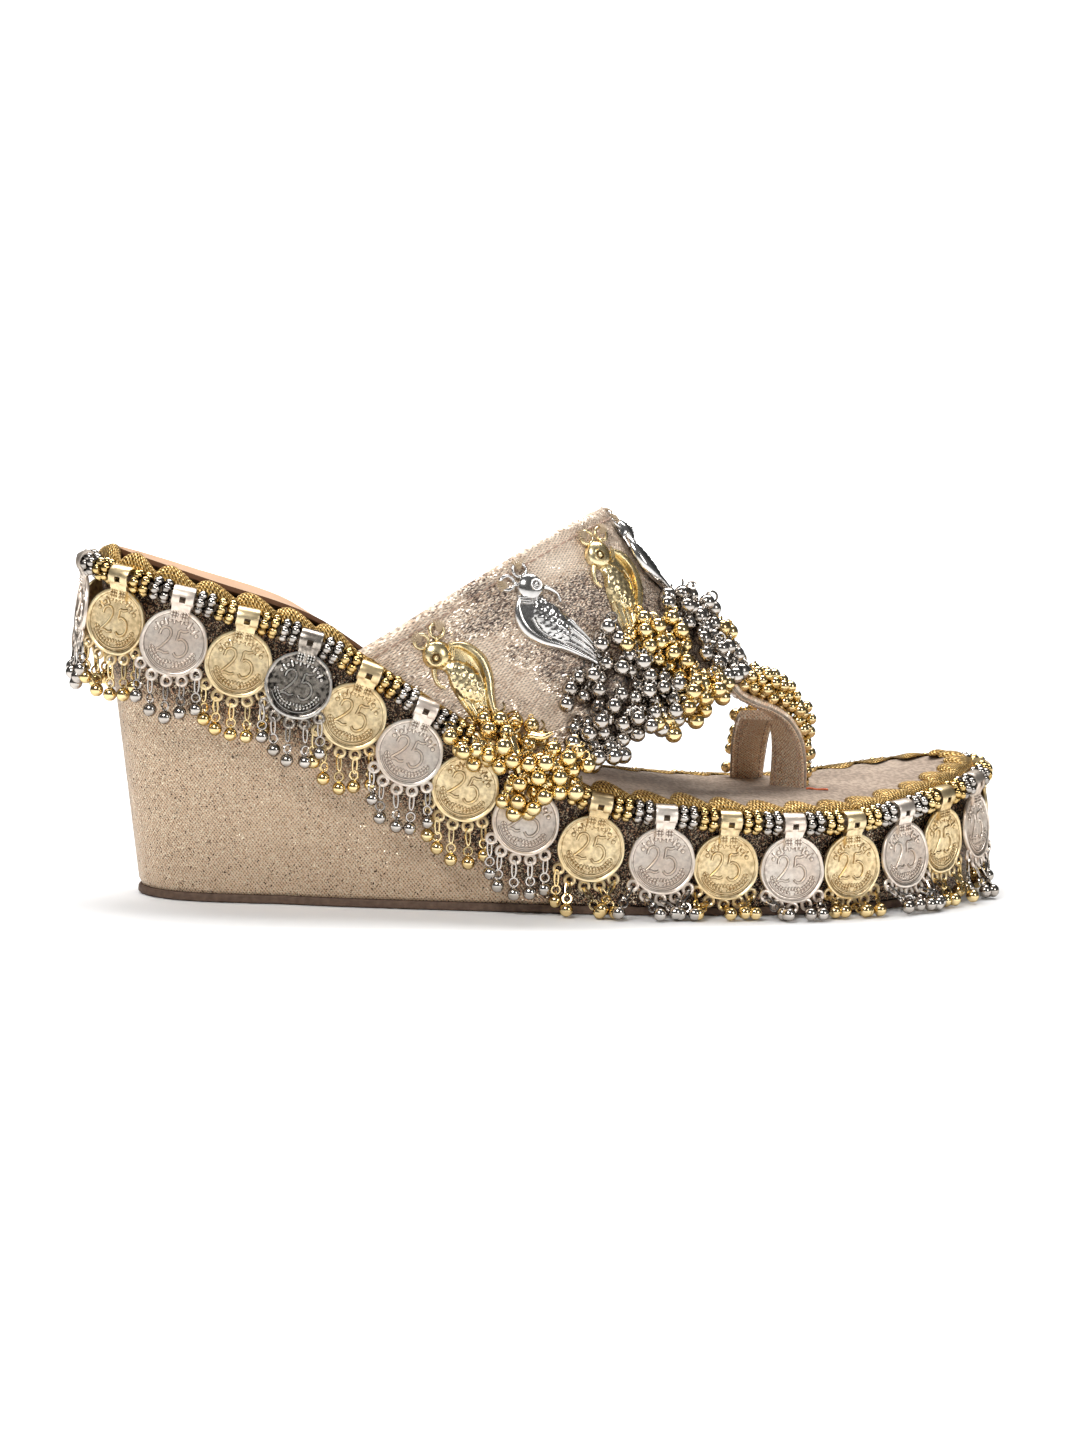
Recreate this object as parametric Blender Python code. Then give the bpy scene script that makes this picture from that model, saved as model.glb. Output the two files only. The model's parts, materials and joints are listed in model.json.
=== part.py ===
"""Right shoe of a platform wedge slide with a toe loop, hung all round with coins.

+X is the toe, +Y the medial side, +Z up. The origin is on the outsole's lower face.
All sizes below are millimetres.
"""
import math

import bmesh
import bpy
import numpy as np
from mathutils import Matrix, Vector

metres_per_mm = 0.001
gap = 0.3                       # clearance that touching pieces keep

# plan of the bead string that runs round the rim: half width and centre line along the shoe
heel_tip = -126.0
toe_tip = 133.0
heel_round = 40.0               # length of the rounded heel end
toe_round = 70.0                # length of the rounded toe end
plan = {
    "x":      [-126, -90, -60, -20, 20, 55, 85, 108, 133],
    "half":   [27.0, 27.1, 31.9, 35.8, 39.9, 41.8, 42.5, 42.3, 42.0],
    "centre": [-1.5, 0.0, -1.5, -3.7, -5.2, -3.5, 0.5, 6.4, 11.2],
}
# height of the bead string over the floor
crest = {
    "x": [-126, -95, -65, -40, -15, 10, 35, 60, 85, 105, 133],
    "z": [91.0, 81.5, 71.7, 57.0, 42.0, 31.0, 27.5, 25.8, 26.3, 29.3, 34.6],
}

string_radius = 3.1             # over the spacer rings
cord_radius = 1.05              # bare cord inside the bails
rim_inset = string_radius + gap # wedge wall inside the string's centre line
footbed_rise = 3.3              # footbed over the string's centre line
insole_thick = 2.7
ledge = 3.3                     # rim strip of the wedge top that carries the upper
outsole_thick = 2.2
outsole_lip = 0.5
heel_lean = 13.5                # how far the back of the wedge leans in towards the floor
wall_taper = 0.11               # narrowing of the heel block towards the floor
taper_start = 1.6               # how fast that narrowing comes in behind the middle

pad_inset = 8.0                 # heel pad inside the string's centre line
pad_front = -52.0
pad_gap = 4.0                   # least distance from its last full station to its front edge
pad_edge = 1.4
pad_dome = 0.9                  # rise of its middle over its edge
pad_fade = 14.0                 # length over which that rise dies out at the front

wall = 2.3                      # upper: face, padding and lining together
vamp = {                        # hoops of the vamp, from its back edge to its front edge
    "at":      [0.0, 1.0],
    "foot_x":  [-57.0, -2.0],
    "crown_x": [17.8, 55.0],
    "crown_z": [106.5, 60.0],
    "skew":    [26.0, 12.0],    # how far the medial foot stands ahead of the lateral one
}
skew_power = 1.2
crown_share = 0.7               # part of the plan's centre offset that the crown takes
vamp_hoops = 7
vamp_columns = 20
shoulder = 2.2                  # superellipse power of a hoop: 2 is an ellipse
hoop_bow = 3.5                  # how far a hoop's sides stand back from its plane

near_width = 11.0
far_width = 9.8
strap_thick = 2.3
near_leg = {                    # runs on from the vamp, beside the big toe, to the footbed
    "x":    [53.6, 57.4, 62.2, 67.0, 71.4, 74.4, 75.7, 76.1, 76.2],
    "y":    [-2.2, -1.6, -0.8, 0.6, 2.4, 4.4, 6.2, 7.6, 8.0],
    "z":    [61.6, 56.9, 54.4, 52.4, 49.0, 43.4, 37.0, 30.0, 27.0],
    "turn": [0, 0, 3, 10, 20, 31, 39, 44, 45],
    "width": near_width,
}
far_leg = {                     # crosses under the near leg and goes down past the big toe
    "x":    [65.2, 65.8, 66.6, 67.4, 68.2, 68.6, 68.7],
    "y":    [3.8, 8.0, 13.6, 19.8, 24.4, 26.8, 27.4],
    "z":    [49.6, 48.5, 45.6, 40.2, 34.2, 29.4, 27.0],
    "turn": [78, 79, 82, 92, 102, 106, 106],
    "width": far_width,
}
slot_spare = 0.5                # insole slot round a strap leg
toe_bell_heights = (5.5, 7.0, 7.5, 7.0, 6.0, 5.0, 3.4)  # over the near leg, from its second frame

coin_count = 34
coin_radius = 8.25
coin_thick = 1.3
coin_drop = 14.0                # cord to coin centre
bail_radius = 3.0
bail_bore = 1.75
bail_width = 6.4
bend_spare = 0.5                # extra bare cord where the string bends round the ends
neck_half = 2.6
fringe_half = 7.5
fringe_drop = 11.5              # coin edge to the lowest bell
floor_spare = 0.8
first_coin = 0.0                # along the string from the heel's rearmost point
hang_share = 0.4                # part of the cord's slope that a coin leans with

charm_long = 16.0               # half sizes of a bird charm
charm_wide = 6.5
charm_thick = 2.0
charm_lift = 2.1
charms = {                      # centre of each bird on the vamp: along it, and round its hoop
    "along":   [0.35, 0.33, 0.30, 0.29, 0.30, 0.33, 0.35],
    "degrees": [11, 33, 57, 87, 123, 147, 169],
}
bunch_half = (11.5, 10.0, 5.0)  # half sizes of a bunch of bells: down the vamp, across, thick
bunch_lift = 5.0
bunches = {                     # the five that lie on the vamp, from the lateral side
    "along":   [0.84, 0.79, 0.79, 0.79, 0.84],
    "degrees": [20, 48, 88, 132, 160],
}
rim_bunch = {"x": -13.0, "out": 8.1, "rise": 4.6}   # the two that hang over the string

colours = {
    "rubber":  ((0.14, 0.085, 0.055), 0.7, 0.0),
    "lurex":   ((0.55, 0.41, 0.29), 0.5, 0.35),
    "suede":   ((0.43, 0.36, 0.31), 0.95, 0.0),
    "leather": ((0.61, 0.38, 0.23), 0.5, 0.0),
    "lame":    ((0.52, 0.37, 0.29), 0.4, 0.6),
    "gold":    ((0.72, 0.53, 0.22), 0.3, 1.0),
    "silver":  ((0.60, 0.57, 0.54), 0.3, 1.0),
}


def smooth(table, column, x):
    """Cubic through a table's rows, read at x."""
    xs = np.array(table["x" if "x" in table else "at"], float)
    ys = np.array(table[column], float)
    slopes = np.gradient(ys, xs)
    i = np.clip(np.searchsorted(xs, x) - 1, 0, len(xs) - 2)
    h = xs[i + 1] - xs[i]
    t = (x - xs[i]) / h
    return ((1 + 2 * t) * (1 - t) ** 2 * ys[i] + t * (1 - t) ** 2 * h * slopes[i]
            + t * t * (3 - 2 * t) * ys[i + 1] + t * t * (t - 1) * h * slopes[i + 1])


def half_width(x):
    """Half width of the string's plan, rounded off at the heel and the toe."""
    width = smooth(plan, "half", x)
    from_heel = np.clip((heel_tip + heel_round - x) / heel_round, 0, 1)
    from_toe = np.clip((x - toe_tip + toe_round) / toe_round, 0, 1)
    return width * np.sqrt(np.clip(1 - from_heel ** 2, 0, 1)) * np.sqrt(np.clip(1 - from_toe ** 2, 0, 1))


def string_height(x):
    return smooth(crest, "z", np.clip(x, heel_tip, toe_tip))


def footbed_height(x):
    return string_height(x) + footbed_rise


def wedge_top(x):
    return footbed_height(x) - insole_thick - gap


def station_xs(end_steps, middle_steps):
    """Stations along the shoe, closer together round the heel and the toe."""
    first = math.radians(9)
    heel = [heel_tip + heel_round * (1 - math.cos(a)) for a in np.linspace(first, math.pi / 2, end_steps)]
    toe = [toe_tip - toe_round * (1 - math.cos(a)) for a in np.linspace(math.pi / 2, first, end_steps + 2)]
    middle = np.linspace(heel[-1], toe[0], middle_steps + 1)[1:-1]
    return np.array(heel + list(middle) + toe)


def rim(xs, inset):
    """Lateral and medial rim points at each station, moved in along the plan's normal."""
    half = half_width(xs)
    centre = smooth(plan, "centre", xs)
    lateral = np.stack([xs, centre - half], axis=1)
    medial = np.stack([xs, centre + half], axis=1)
    loop = np.concatenate([lateral, medial[::-1]])
    along = np.roll(loop, -1, axis=0) - np.roll(loop, 1, axis=0)
    along /= np.linalg.norm(along, axis=1)[:, None]
    inward = np.stack([-along[:, 1], along[:, 0]], axis=1)
    moved = loop + inset * inward
    n = len(xs)
    return moved[:n], moved[n:][::-1]


def material(name):
    found = bpy.data.materials.get(name)
    if found:
        return found
    colour, roughness, metallic = colours[name]
    made = bpy.data.materials.new(name)
    made.use_nodes = True
    shader = made.node_tree.nodes["Principled BSDF"]
    shader.inputs["Base Color"].default_value = (*colour, 1)
    shader.inputs["Roughness"].default_value = roughness
    shader.inputs["Metallic"].default_value = metallic
    return made


def solid(name, points, faces, look, origin=(0, 0, 0)):
    """Closed mesh object from millimetre points, with its own origin."""
    mesh = bpy.data.meshes.new(name)
    start = Vector(origin)
    mesh.from_pydata([(Vector(p) - start) * metres_per_mm for p in points], [], faces)
    mesh.validate()
    bm = bmesh.new()
    bm.from_mesh(mesh)
    bmesh.ops.recalc_face_normals(bm, faces=bm.faces)
    bm.to_mesh(mesh)
    bm.free()
    mesh.materials.append(material(look))
    mesh.shade_smooth()
    mesh.set_sharp_from_angle(angle=math.radians(35))
    body = bpy.data.objects.new(name, mesh)
    body.location = start * metres_per_mm
    bpy.context.collection.objects.link(body)
    return body


def bridged(rings, closed=False):
    """Points and faces of a tube through equal rings, capped unless it closes on itself."""
    n = len(rings[0])
    points = [tuple(p) for ring in rings for p in ring]
    faces = []
    for i in range(len(rings) if closed else len(rings) - 1):
        j = (i + 1) % len(rings)
        for k in range(n):
            m = (k + 1) % n
            faces.append((i * n + k, i * n + m, j * n + m, j * n + k))
    if not closed:
        faces.append(tuple(range(n)))
        faces.append(tuple(range((len(rings) - 1) * n, len(rings) * n)))
    return points, faces


def combine(target, other, operation):
    """Boolean by the exact solver, with the other solid kept as a hidden guide."""
    step = target.modifiers.new(operation.lower(), "BOOLEAN")
    step.operation = operation
    step.solver = "EXACT"
    step.object = other
    other.hide_render = True
    other.display_type = "WIRE"


def slab(name, xs, inset, low, high, look, squeeze=None):
    """Slab over the plan: a section at each station, between two height functions."""
    lateral, medial = rim(xs, inset)
    sections = []
    for left, right in zip(lateral, medial):
        base_left, base_right = (squeeze(left), squeeze(right)) if squeeze else (left, right)
        sections.append([(*base_left, low(base_left[0])), (*base_right, low(base_right[0])),
                         (*right, high(right[0])), (*left, high(left[0]))])
    return solid(name, *bridged(sections), look)


def floor_plan(point):
    """Where a rim point of the wedge comes down to the floor."""
    x, y = point
    back = np.clip(-x / -(heel_tip + rim_inset), 0, 1)
    return x + heel_lean * back ** 2, y * (1 - wall_taper * min(1, taper_start * back))


def make_sole():
    xs = station_xs(9, 16)
    slab("wedge", xs, rim_inset, lambda x: outsole_thick + gap, wedge_top, "lurex", floor_plan)
    lateral, medial = rim(xs, rim_inset - outsole_lip)
    sections = []
    for left, right in zip(lateral, medial):
        (x1, y1), (x2, y2) = floor_plan(left), floor_plan(right)
        sections.append([(x1, y1, 0), (x2, y2, 0), (x2, y2, outsole_thick), (x1, y1, outsole_thick)])
    solid("outsole", *bridged(sections), "rubber")


def make_insole(legs):
    xs = station_xs(9, 18)
    insole = slab("insole", xs, rim_inset + ledge, lambda x: footbed_height(x) - insole_thick,
                  footbed_height, "suede")
    for name, leg in legs.items():
        spare = 2 * slot_spare
        slot = swept(name + "_slot", leg, leg["width"] + spare, strap_thick + spare, first=-3, past=4.0)
        combine(insole, slot, "DIFFERENCE")


def make_heel_pad():
    xs = [x for x in station_xs(9, 18) if x < pad_front - pad_gap] + [pad_front]
    lateral, medial = rim(np.array(xs), pad_inset)
    across = np.linspace(-1, 1, 7)
    low, high = [], []
    for left, right in zip(lateral, medial):
        middle, half = (left + right) / 2, (right - left) / 2
        end = min(1, (pad_front - middle[0]) / pad_fade)
        rise = pad_dome * math.sin(math.pi / 2 * max(0, end))
        row = [middle + half * v for v in across]
        low.append([(*p, footbed_height(p[0]) + gap) for p in row])
        high.append([(*p, footbed_height(p[0]) + gap + pad_edge + rise * (1 - v ** 2))
                     for p, v in zip(row, across)])
    sections = [a + b[::-1] for a, b in zip(low, high)]
    solid("heel_pad", *bridged(sections), "leather")


def vamp_point(along, angle):
    """Point of the vamp's outer face; the hoop goes from the lateral foot over the crown."""
    lateral_x = np.interp(along, vamp["at"], vamp["foot_x"])
    side = -math.copysign(abs(math.cos(angle)) ** (2 / shoulder), math.cos(angle))
    rise = max(0.0, math.sin(angle)) ** (2 / shoulder)
    skew = np.interp(along, vamp["at"], vamp["skew"]) * max(0.0, side) ** skew_power
    foot_x = lateral_x + skew
    middle = Vector((foot_x, float(smooth(plan, "centre", foot_x)), float(wedge_top(foot_x)) + gap))
    crown = Vector((np.interp(along, vamp["at"], vamp["crown_x"]),
                    float(smooth(plan, "centre", lateral_x)) * crown_share,
                    np.interp(along, vamp["at"], vamp["crown_z"])))
    point = middle.lerp(crown, rise)
    point.x += skew * rise
    point.y += (float(half_width(foot_x)) - rim_inset - gap) * side
    reach = crown - middle
    back = Vector((-reach.z, 0, reach.x)).normalized()
    return point + back * hoop_bow * abs(math.sin(2 * angle))


def vamp_normal(along, angle):
    step = 0.01
    a = min(max(along, step), 1 - step)
    b = min(max(angle, step), math.pi - step)
    by_along = vamp_point(a + step, b) - vamp_point(a - step, b)
    by_angle = vamp_point(a, b + step) - vamp_point(a, b - step)
    return by_angle.cross(by_along).normalized() * -1


def vamp_rings():
    """Closed section at each hoop: outer face there, inner face back."""
    rings = []
    for along in np.linspace(0, 1, vamp_hoops):
        outer, inner = [], []
        for angle in np.linspace(0, math.pi, vamp_columns + 1):
            point = vamp_point(along, angle)
            back = point - vamp_normal(along, angle) * wall
            if angle < 0.01 or angle > math.pi - 0.01:
                back.z = float(wedge_top(back.x)) + gap
            outer.append(point)
            inner.append(back)
        rings.append(outer + inner[::-1])
    return rings


def leg_frames(leg):
    """Centre, width direction and outer normal along a strap leg."""
    centres = [Vector(p) for p in zip(leg["x"], leg["y"], leg["z"])]
    frames = []
    for i, centre in enumerate(centres):
        along = (centres[min(i + 1, len(centres) - 1)] - centres[max(i - 1, 0)]).normalized()
        turn = math.radians(leg["turn"][i])
        width = Vector((math.sin(turn), -math.cos(turn), 0))
        width = (width - along * width.dot(along)).normalized()
        frames.append((centre, width, along.cross(width).normalized() * -1, along))
    return frames


def swept(name, leg, width, thick, first=0, past=0.0):
    """Flat band through a leg's frames, or its slot where it goes through the footbed."""
    frames = leg_frames(leg)[first:]
    rings = []
    for centre, across, normal, along in frames:
        a, n = across * width / 2, normal * thick / 2
        rings.append([centre - a - n, centre + a - n, centre + a + n, centre - a + n])
    if past:
        down = frames[-1][3] * past
        rings.append([p + down for p in rings[-1]])
    return solid(name, *bridged(rings), "lame")


def make_upper(legs):
    upper = solid("upper", *bridged(vamp_rings()), "lame")
    for name, leg in legs.items():
        combine(upper, swept(name + "_band", leg, leg["width"], strap_thick), "UNION")


def string_path():
    """Points round the string, with the arc length of each."""
    xs = station_xs(60, 200)
    lateral, medial = rim(xs, 0)
    loop = np.concatenate([lateral, medial[::-1]])
    loop = np.column_stack([loop, [string_height(x) for x in loop[:, 0]]])
    tail = np.array([[heel_tip, float(smooth(plan, "centre", heel_tip)), float(string_height(heel_tip))]])
    loop = np.concatenate([tail, loop, tail])
    lengths = np.concatenate([[0], np.cumsum(np.linalg.norm(np.diff(loop, axis=0), axis=1))])
    return loop, lengths


string_loop, string_lengths = string_path()
pitch = string_lengths[-1] / coin_count


def on_string(distance):
    """Point and direction of the string, counted from the heel along the lateral side."""
    def at(s):
        s = s % string_lengths[-1]
        return Vector([float(np.interp(s, string_lengths, string_loop[:, k])) for k in range(3)])
    reach = bail_width / 2
    before, here, after = at(distance - reach), at(distance), at(distance + reach)
    return (before + here * 2 + after) / 4, (after - before).normalized()


def make_bead_string():
    """Cord, with one thick run of spacer rings between each two bails."""
    bare = bail_width / 2 + gap + bend_spare
    steps = [(0, cord_radius), (bare - gap, cord_radius), (bare + gap, string_radius),
             (pitch / 2, string_radius), (pitch - bare - gap, string_radius), (pitch - bare + gap, cord_radius)]
    rings = []
    for i in range(coin_count):
        for offset, radius in steps:
            centre, along = on_string(first_coin + i * pitch + offset)
            side = along.cross(Vector((0, 0, 1))).normalized()
            up = side.cross(along)
            rings.append([centre + (side * math.cos(a) + up * math.sin(a)) * radius
                          for a in np.arange(6) * math.pi / 3 + math.pi / 6])
    solid("bead_string", *bridged(rings, closed=True), "gold")


def coin_outline(lowest):
    """Neck, coin and fringe of bells as one flat outline; the second number goes down."""
    turn = math.asin(neck_half / coin_radius)
    ends = math.pi - math.asin(fringe_half / coin_radius)
    edge = [(coin_radius * math.sin(a), coin_drop - coin_radius * math.cos(a))
            for a in np.linspace(turn, ends, 7)]
    fringe = [(fringe_half, lowest - 2.0), (fringe_half * 0.5, lowest - 0.5)]
    right = [(neck_half, bail_bore + 0.5)] + edge
    if lowest - 2.0 > edge[-1][1] + 0.5:
        right += fringe
    bottom = [(0, max(lowest, edge[-1][1] + 0.4))]
    return right + bottom + [(-a, b) for a, b in right[::-1]]


def make_coin(index):
    centre, along = on_string(first_coin + index * pitch)
    axis = -along
    outward = Vector((axis.y, -axis.x, 0)).normalized() * -1
    up = axis.cross(outward)
    hang = (1 - hang_share) * math.asin(along.z)
    down = axis * math.sin(hang) - up * math.cos(hang)
    across = down.cross(outward)
    room = centre.z - floor_spare
    lowest = min(coin_drop + coin_radius + fringe_drop, room / -down.z)
    outline = coin_outline(lowest)
    faces = [[centre + across * a + down * b + outward * s * coin_thick / 2 for a, b in outline]
             for s in (-1, 1)]
    name = f"coin_{index + 1:02d}"
    look = "silver" if index % 2 == 0 else "gold"
    coin = solid(name, *bridged(faces), look, centre)
    angles = np.arange(8) * math.pi / 4 + math.pi / 8
    tube = []
    for s, radius in ((-1, bail_radius), (1, bail_radius), (1, bail_bore), (-1, bail_bore)):
        tube.append([centre + axis * s * bail_width / 2
                     + (outward * math.cos(a) + up * math.sin(a)) * radius for a in angles])
    combine(coin, solid(name + "_bail", *bridged(tube, closed=True), look), "UNION")


def ellipsoid(name, centre, axes, look, rings=6, sides=10):
    """Rounded solid with its three half axes given as vectors."""
    rows = []
    for a in np.linspace(-math.pi / 2, math.pi / 2, rings + 1)[1:-1]:
        rows.append([centre + axes[2] * math.sin(a)
                     + (axes[0] * math.cos(b) + axes[1] * math.sin(b)) * math.cos(a)
                     for b in np.arange(sides) * 2 * math.pi / sides])
    points, faces = bridged(rows)
    return solid(name, points, faces, look)


def on_vamp(along, angle, lift, half):
    """Centre and axes of a solid that lies along the vamp, clear of it by the lift."""
    normal = vamp_normal(along, angle)
    forward = (vamp_point(min(1, along + 0.1), angle) - vamp_point(along - 0.1, angle)).normalized()
    forward = (forward - normal * forward.dot(normal)).normalized()
    sideways = normal.cross(forward)
    centre = vamp_point(along, angle) + normal * lift
    return centre, (forward * half[0], sideways * half[1], normal * half[2])


def make_charms():
    for i, (along, degrees) in enumerate(zip(charms["along"], charms["degrees"])):
        look = "gold" if i % 2 == 0 else "silver"
        half = (charm_long, charm_wide, charm_thick)
        ellipsoid(f"bird_charm_{i + 1}", *on_vamp(along, math.radians(degrees), charm_lift, half), look)


def over_rim(side):
    """Centre and axes of a bunch that hangs outside the string; side is -1 or 1."""
    x = rim_bunch["x"]
    y = float(smooth(plan, "centre", x)) + side * (float(half_width(x)) + rim_bunch["out"])
    slope = float(string_height(x + 5) - string_height(x - 5)) / 10
    forward = Vector((1, 0, slope)).normalized()
    outward = Vector((0, side, 0))
    centre = Vector((x, y, float(string_height(x)) + rim_bunch["rise"]))
    long, wide, thick = bunch_half
    return centre, (forward * long, forward.cross(outward) * wide, outward * thick)


def make_bunches():
    places = [over_rim(-1)]
    for along, degrees in zip(bunches["along"], bunches["degrees"]):
        places.append(on_vamp(along, math.radians(degrees), bunch_lift, bunch_half))
    places.append(over_rim(1))
    for i, place in enumerate(places):
        ellipsoid(f"bell_bunch_{i + 1}", *place, "gold" if i % 2 == 0 else "silver")


def make_toe_bells(leg):
    """Cluster of small bells along the outer face of the near leg."""
    rings = []
    for (centre, across, normal, along), height in zip(leg_frames(leg)[1:], toe_bell_heights):
        base = centre + normal * (strap_thick / 2 + 3 * gap)
        half = leg["width"] / 2
        rings.append([base - across * half, base + across * half,
                      base + across * half * 0.8 + normal * height * 0.7, base + normal * height,
                      base - across * half * 0.8 + normal * height * 0.7])
    solid("toe_bells", *bridged(rings), "gold")


for old in list(bpy.data.objects):
    bpy.data.objects.remove(old, do_unlink=True)

strap_legs = {"near_leg": near_leg, "far_leg": far_leg}
make_sole()
make_insole(strap_legs)
make_heel_pad()
make_upper(strap_legs)
make_bead_string()
for coin_index in range(coin_count):
    make_coin(coin_index)
make_charms()
make_bunches()
make_toe_bells(near_leg)
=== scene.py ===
import json
import math
import random

import bpy
import numpy as np
from mathutils import Matrix, Vector


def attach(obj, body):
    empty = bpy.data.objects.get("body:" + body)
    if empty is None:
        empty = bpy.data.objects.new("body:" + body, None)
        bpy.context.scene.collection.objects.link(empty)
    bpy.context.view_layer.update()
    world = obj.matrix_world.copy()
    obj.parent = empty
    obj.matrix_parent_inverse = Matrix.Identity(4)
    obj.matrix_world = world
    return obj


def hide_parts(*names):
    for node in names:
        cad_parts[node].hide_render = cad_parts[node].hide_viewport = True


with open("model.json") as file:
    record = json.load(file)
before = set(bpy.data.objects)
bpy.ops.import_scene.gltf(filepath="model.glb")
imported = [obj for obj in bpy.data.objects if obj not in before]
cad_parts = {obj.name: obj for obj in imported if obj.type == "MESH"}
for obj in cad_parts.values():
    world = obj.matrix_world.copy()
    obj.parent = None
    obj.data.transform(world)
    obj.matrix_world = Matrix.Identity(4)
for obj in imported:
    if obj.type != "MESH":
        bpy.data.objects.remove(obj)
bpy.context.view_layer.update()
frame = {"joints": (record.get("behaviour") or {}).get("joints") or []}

mm = 0.001  # everything below is in millimetres until a mesh is made
upward = np.array([0.0, 0.0, 1.0])


# small tools for vectors and joined meshes

def unit(v):
    # one vector, or each of several, brought to length 1
    v = np.asarray(v, float)
    return v / np.maximum(np.linalg.norm(v, axis=-1, keepdims=True), 1e-9)


def roundTurns(count):
    return np.arange(count) * 2 * math.pi / count


def lengthsAlong(line):
    return np.concatenate([[0], np.cumsum(np.linalg.norm(np.diff(line, axis=0), axis=1))])


def smoothRead(table, column, x, key="x"):
    # cubic through the rows of a table, read at x
    xs = np.array(table[key], float)
    ys = np.array(table[column], float)
    slopes = np.gradient(ys, xs)
    i = np.clip(np.searchsorted(xs, x) - 1, 0, len(xs) - 2)
    h = xs[i + 1] - xs[i]
    t = (x - xs[i]) / h
    return ((1 + 2 * t) * (1 - t) ** 2 * ys[i] + t * (1 - t) ** 2 * h * slopes[i]
            + t * t * (3 - 2 * t) * ys[i + 1] + t * t * (t - 1) * h * slopes[i + 1])


def curveThrough(points, count):
    points = np.asarray(points, float)
    steps = lengthsAlong(points)
    table = {"x": steps, **{str(k): column for k, column in enumerate(points.T)}}
    at = np.linspace(0, steps[-1], count)
    return np.stack([smoothRead(table, str(k), at) for k in range(points.shape[1])], 1)


class Shape:
    # gathers points and faces of one joined mesh, with cloth coordinates and a relief-and-shade value per
    # point: raised relief on the castings, painted shade on the wedge, the heel pad's edge and the vamp
    def __init__(self):
        self.points = []
        self.faces = []
        self.relief = []
        self.cloth = []
        self.count = 0

    def add(self, points, faces, relief=0.0, cloth=None):
        points = np.asarray(points, float).reshape(-1, 3)
        n = len(points)
        self.points.append(points)
        self.faces.extend([tuple(self.count + i for i in face) for face in faces])
        self.relief.append(np.full(n, relief) if np.isscalar(relief) else np.asarray(relief, float))
        self.cloth.append(np.zeros((n, 2)) if cloth is None else np.asarray(cloth, float).reshape(-1, 2))
        self.count += n

    def place(self, part, at, axes=None, relief=0.9):
        # a ready ball or ring, turned and moved
        points, faces = part
        self.add((points if axes is None else points @ np.array(axes)) + at, faces, relief)

    def merge(self, other, origin, axes):
        start = self.count
        self.points += [points @ np.array(axes) + origin for points in other.points]
        self.relief += other.relief
        self.cloth += other.cloth
        self.faces.extend([tuple(start + i for i in face) for face in other.faces])
        self.count += other.count


def gridFaces(rows, columns, wrapRows=False, wrapColumns=False, flip=False):
    faces = []
    for i in range(rows if wrapRows else rows - 1):
        j = (i + 1) % rows
        for k in range(columns if wrapColumns else columns - 1):
            m = (k + 1) % columns
            face = (i * columns + k, j * columns + k, j * columns + m, i * columns + m)
            faces.append(face[::-1] if flip else face)
    return faces


def archFaces(rows, columns):
    # a sheet closed round its edge rows, with both feet closed too
    feet = [tuple(i * columns for i in range(rows)),
            tuple(i * columns + columns - 1 for i in range(rows))[::-1]]
    return gridFaces(rows, columns, wrapRows=True) + feet


def addWall(shape, top, low, rows, columns, relief):
    # joins the borders of two equal grids
    grid = np.arange(rows * columns).reshape(rows, columns)
    border = np.concatenate([grid[:, 0], grid[-1, 1:], grid[-2::-1, -1], grid[0, -2:0:-1]])
    points = np.concatenate([np.array(top)[border], np.array(low)[border]])
    shape.add(points, gridFaces(2, len(border), wrapColumns=True), relief)


def ballShape(radius=1.0, around=10, rows=7):
    a, b = np.meshgrid(np.linspace(0, math.pi, rows + 1)[1:-1], roundTurns(around), indexing="ij")
    rings = radius * np.stack([np.sin(a) * np.cos(b), np.sin(a) * np.sin(b), np.cos(a)], -1)
    points = np.concatenate([rings.reshape(-1, 3), [(0, 0, radius), (0, 0, -radius)]])
    faces = gridFaces(rows - 1, around, wrapColumns=True)
    top, last = len(points) - 2, (rows - 2) * around
    for k in range(around):
        m = (k + 1) % around
        faces += [(top, k, m), (top + 1, last + m, last + k)]
    return points, faces


def ringShape(major, minor, around=14, sides=6):
    a, b = np.meshgrid(roundTurns(around), roundTurns(sides), indexing="ij")
    r = major + minor * np.cos(b)
    points = np.stack([r * np.cos(a), r * np.sin(a), minor * np.sin(b)], -1)
    return points.reshape(-1, 3), gridFaces(around, sides, wrapRows=True, wrapColumns=True)


def tubeShape(path, radius, sides=6, closed=False):
    path = np.asarray(path, float)
    n = len(path)
    ways = np.roll(path, -1, axis=0) - np.roll(path, 1, axis=0) if closed else np.gradient(path, axis=0)
    along = unit(ways)
    side = np.zeros_like(path)
    side[0] = np.cross(along[0], upward)
    if np.linalg.norm(side[0]) < 0.2:
        side[0] = np.cross(along[0], [1.0, 0, 0])
    side[0] = unit(side[0])
    for i in range(1, n):  # carried along without a twist
        side[i] = unit(side[i - 1] - along[i] * np.dot(side[i - 1], along[i]))
    top = np.cross(side, along)
    turns = roundTurns(sides)[None, :, None]
    reach = side[:, None] * np.cos(turns) + top[:, None] * np.sin(turns)
    rings = path[:, None] + np.broadcast_to(radius, n)[:, None, None] * reach
    faces = [(a, d, c, b) for a, b, c, d in gridFaces(n, sides, wrapRows=closed, wrapColumns=True)]
    if not closed:
        faces += [tuple(range(sides))[::-1], tuple(range((n - 1) * sides, n * sides))]
    return rings.reshape(-1, 3), faces


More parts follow.
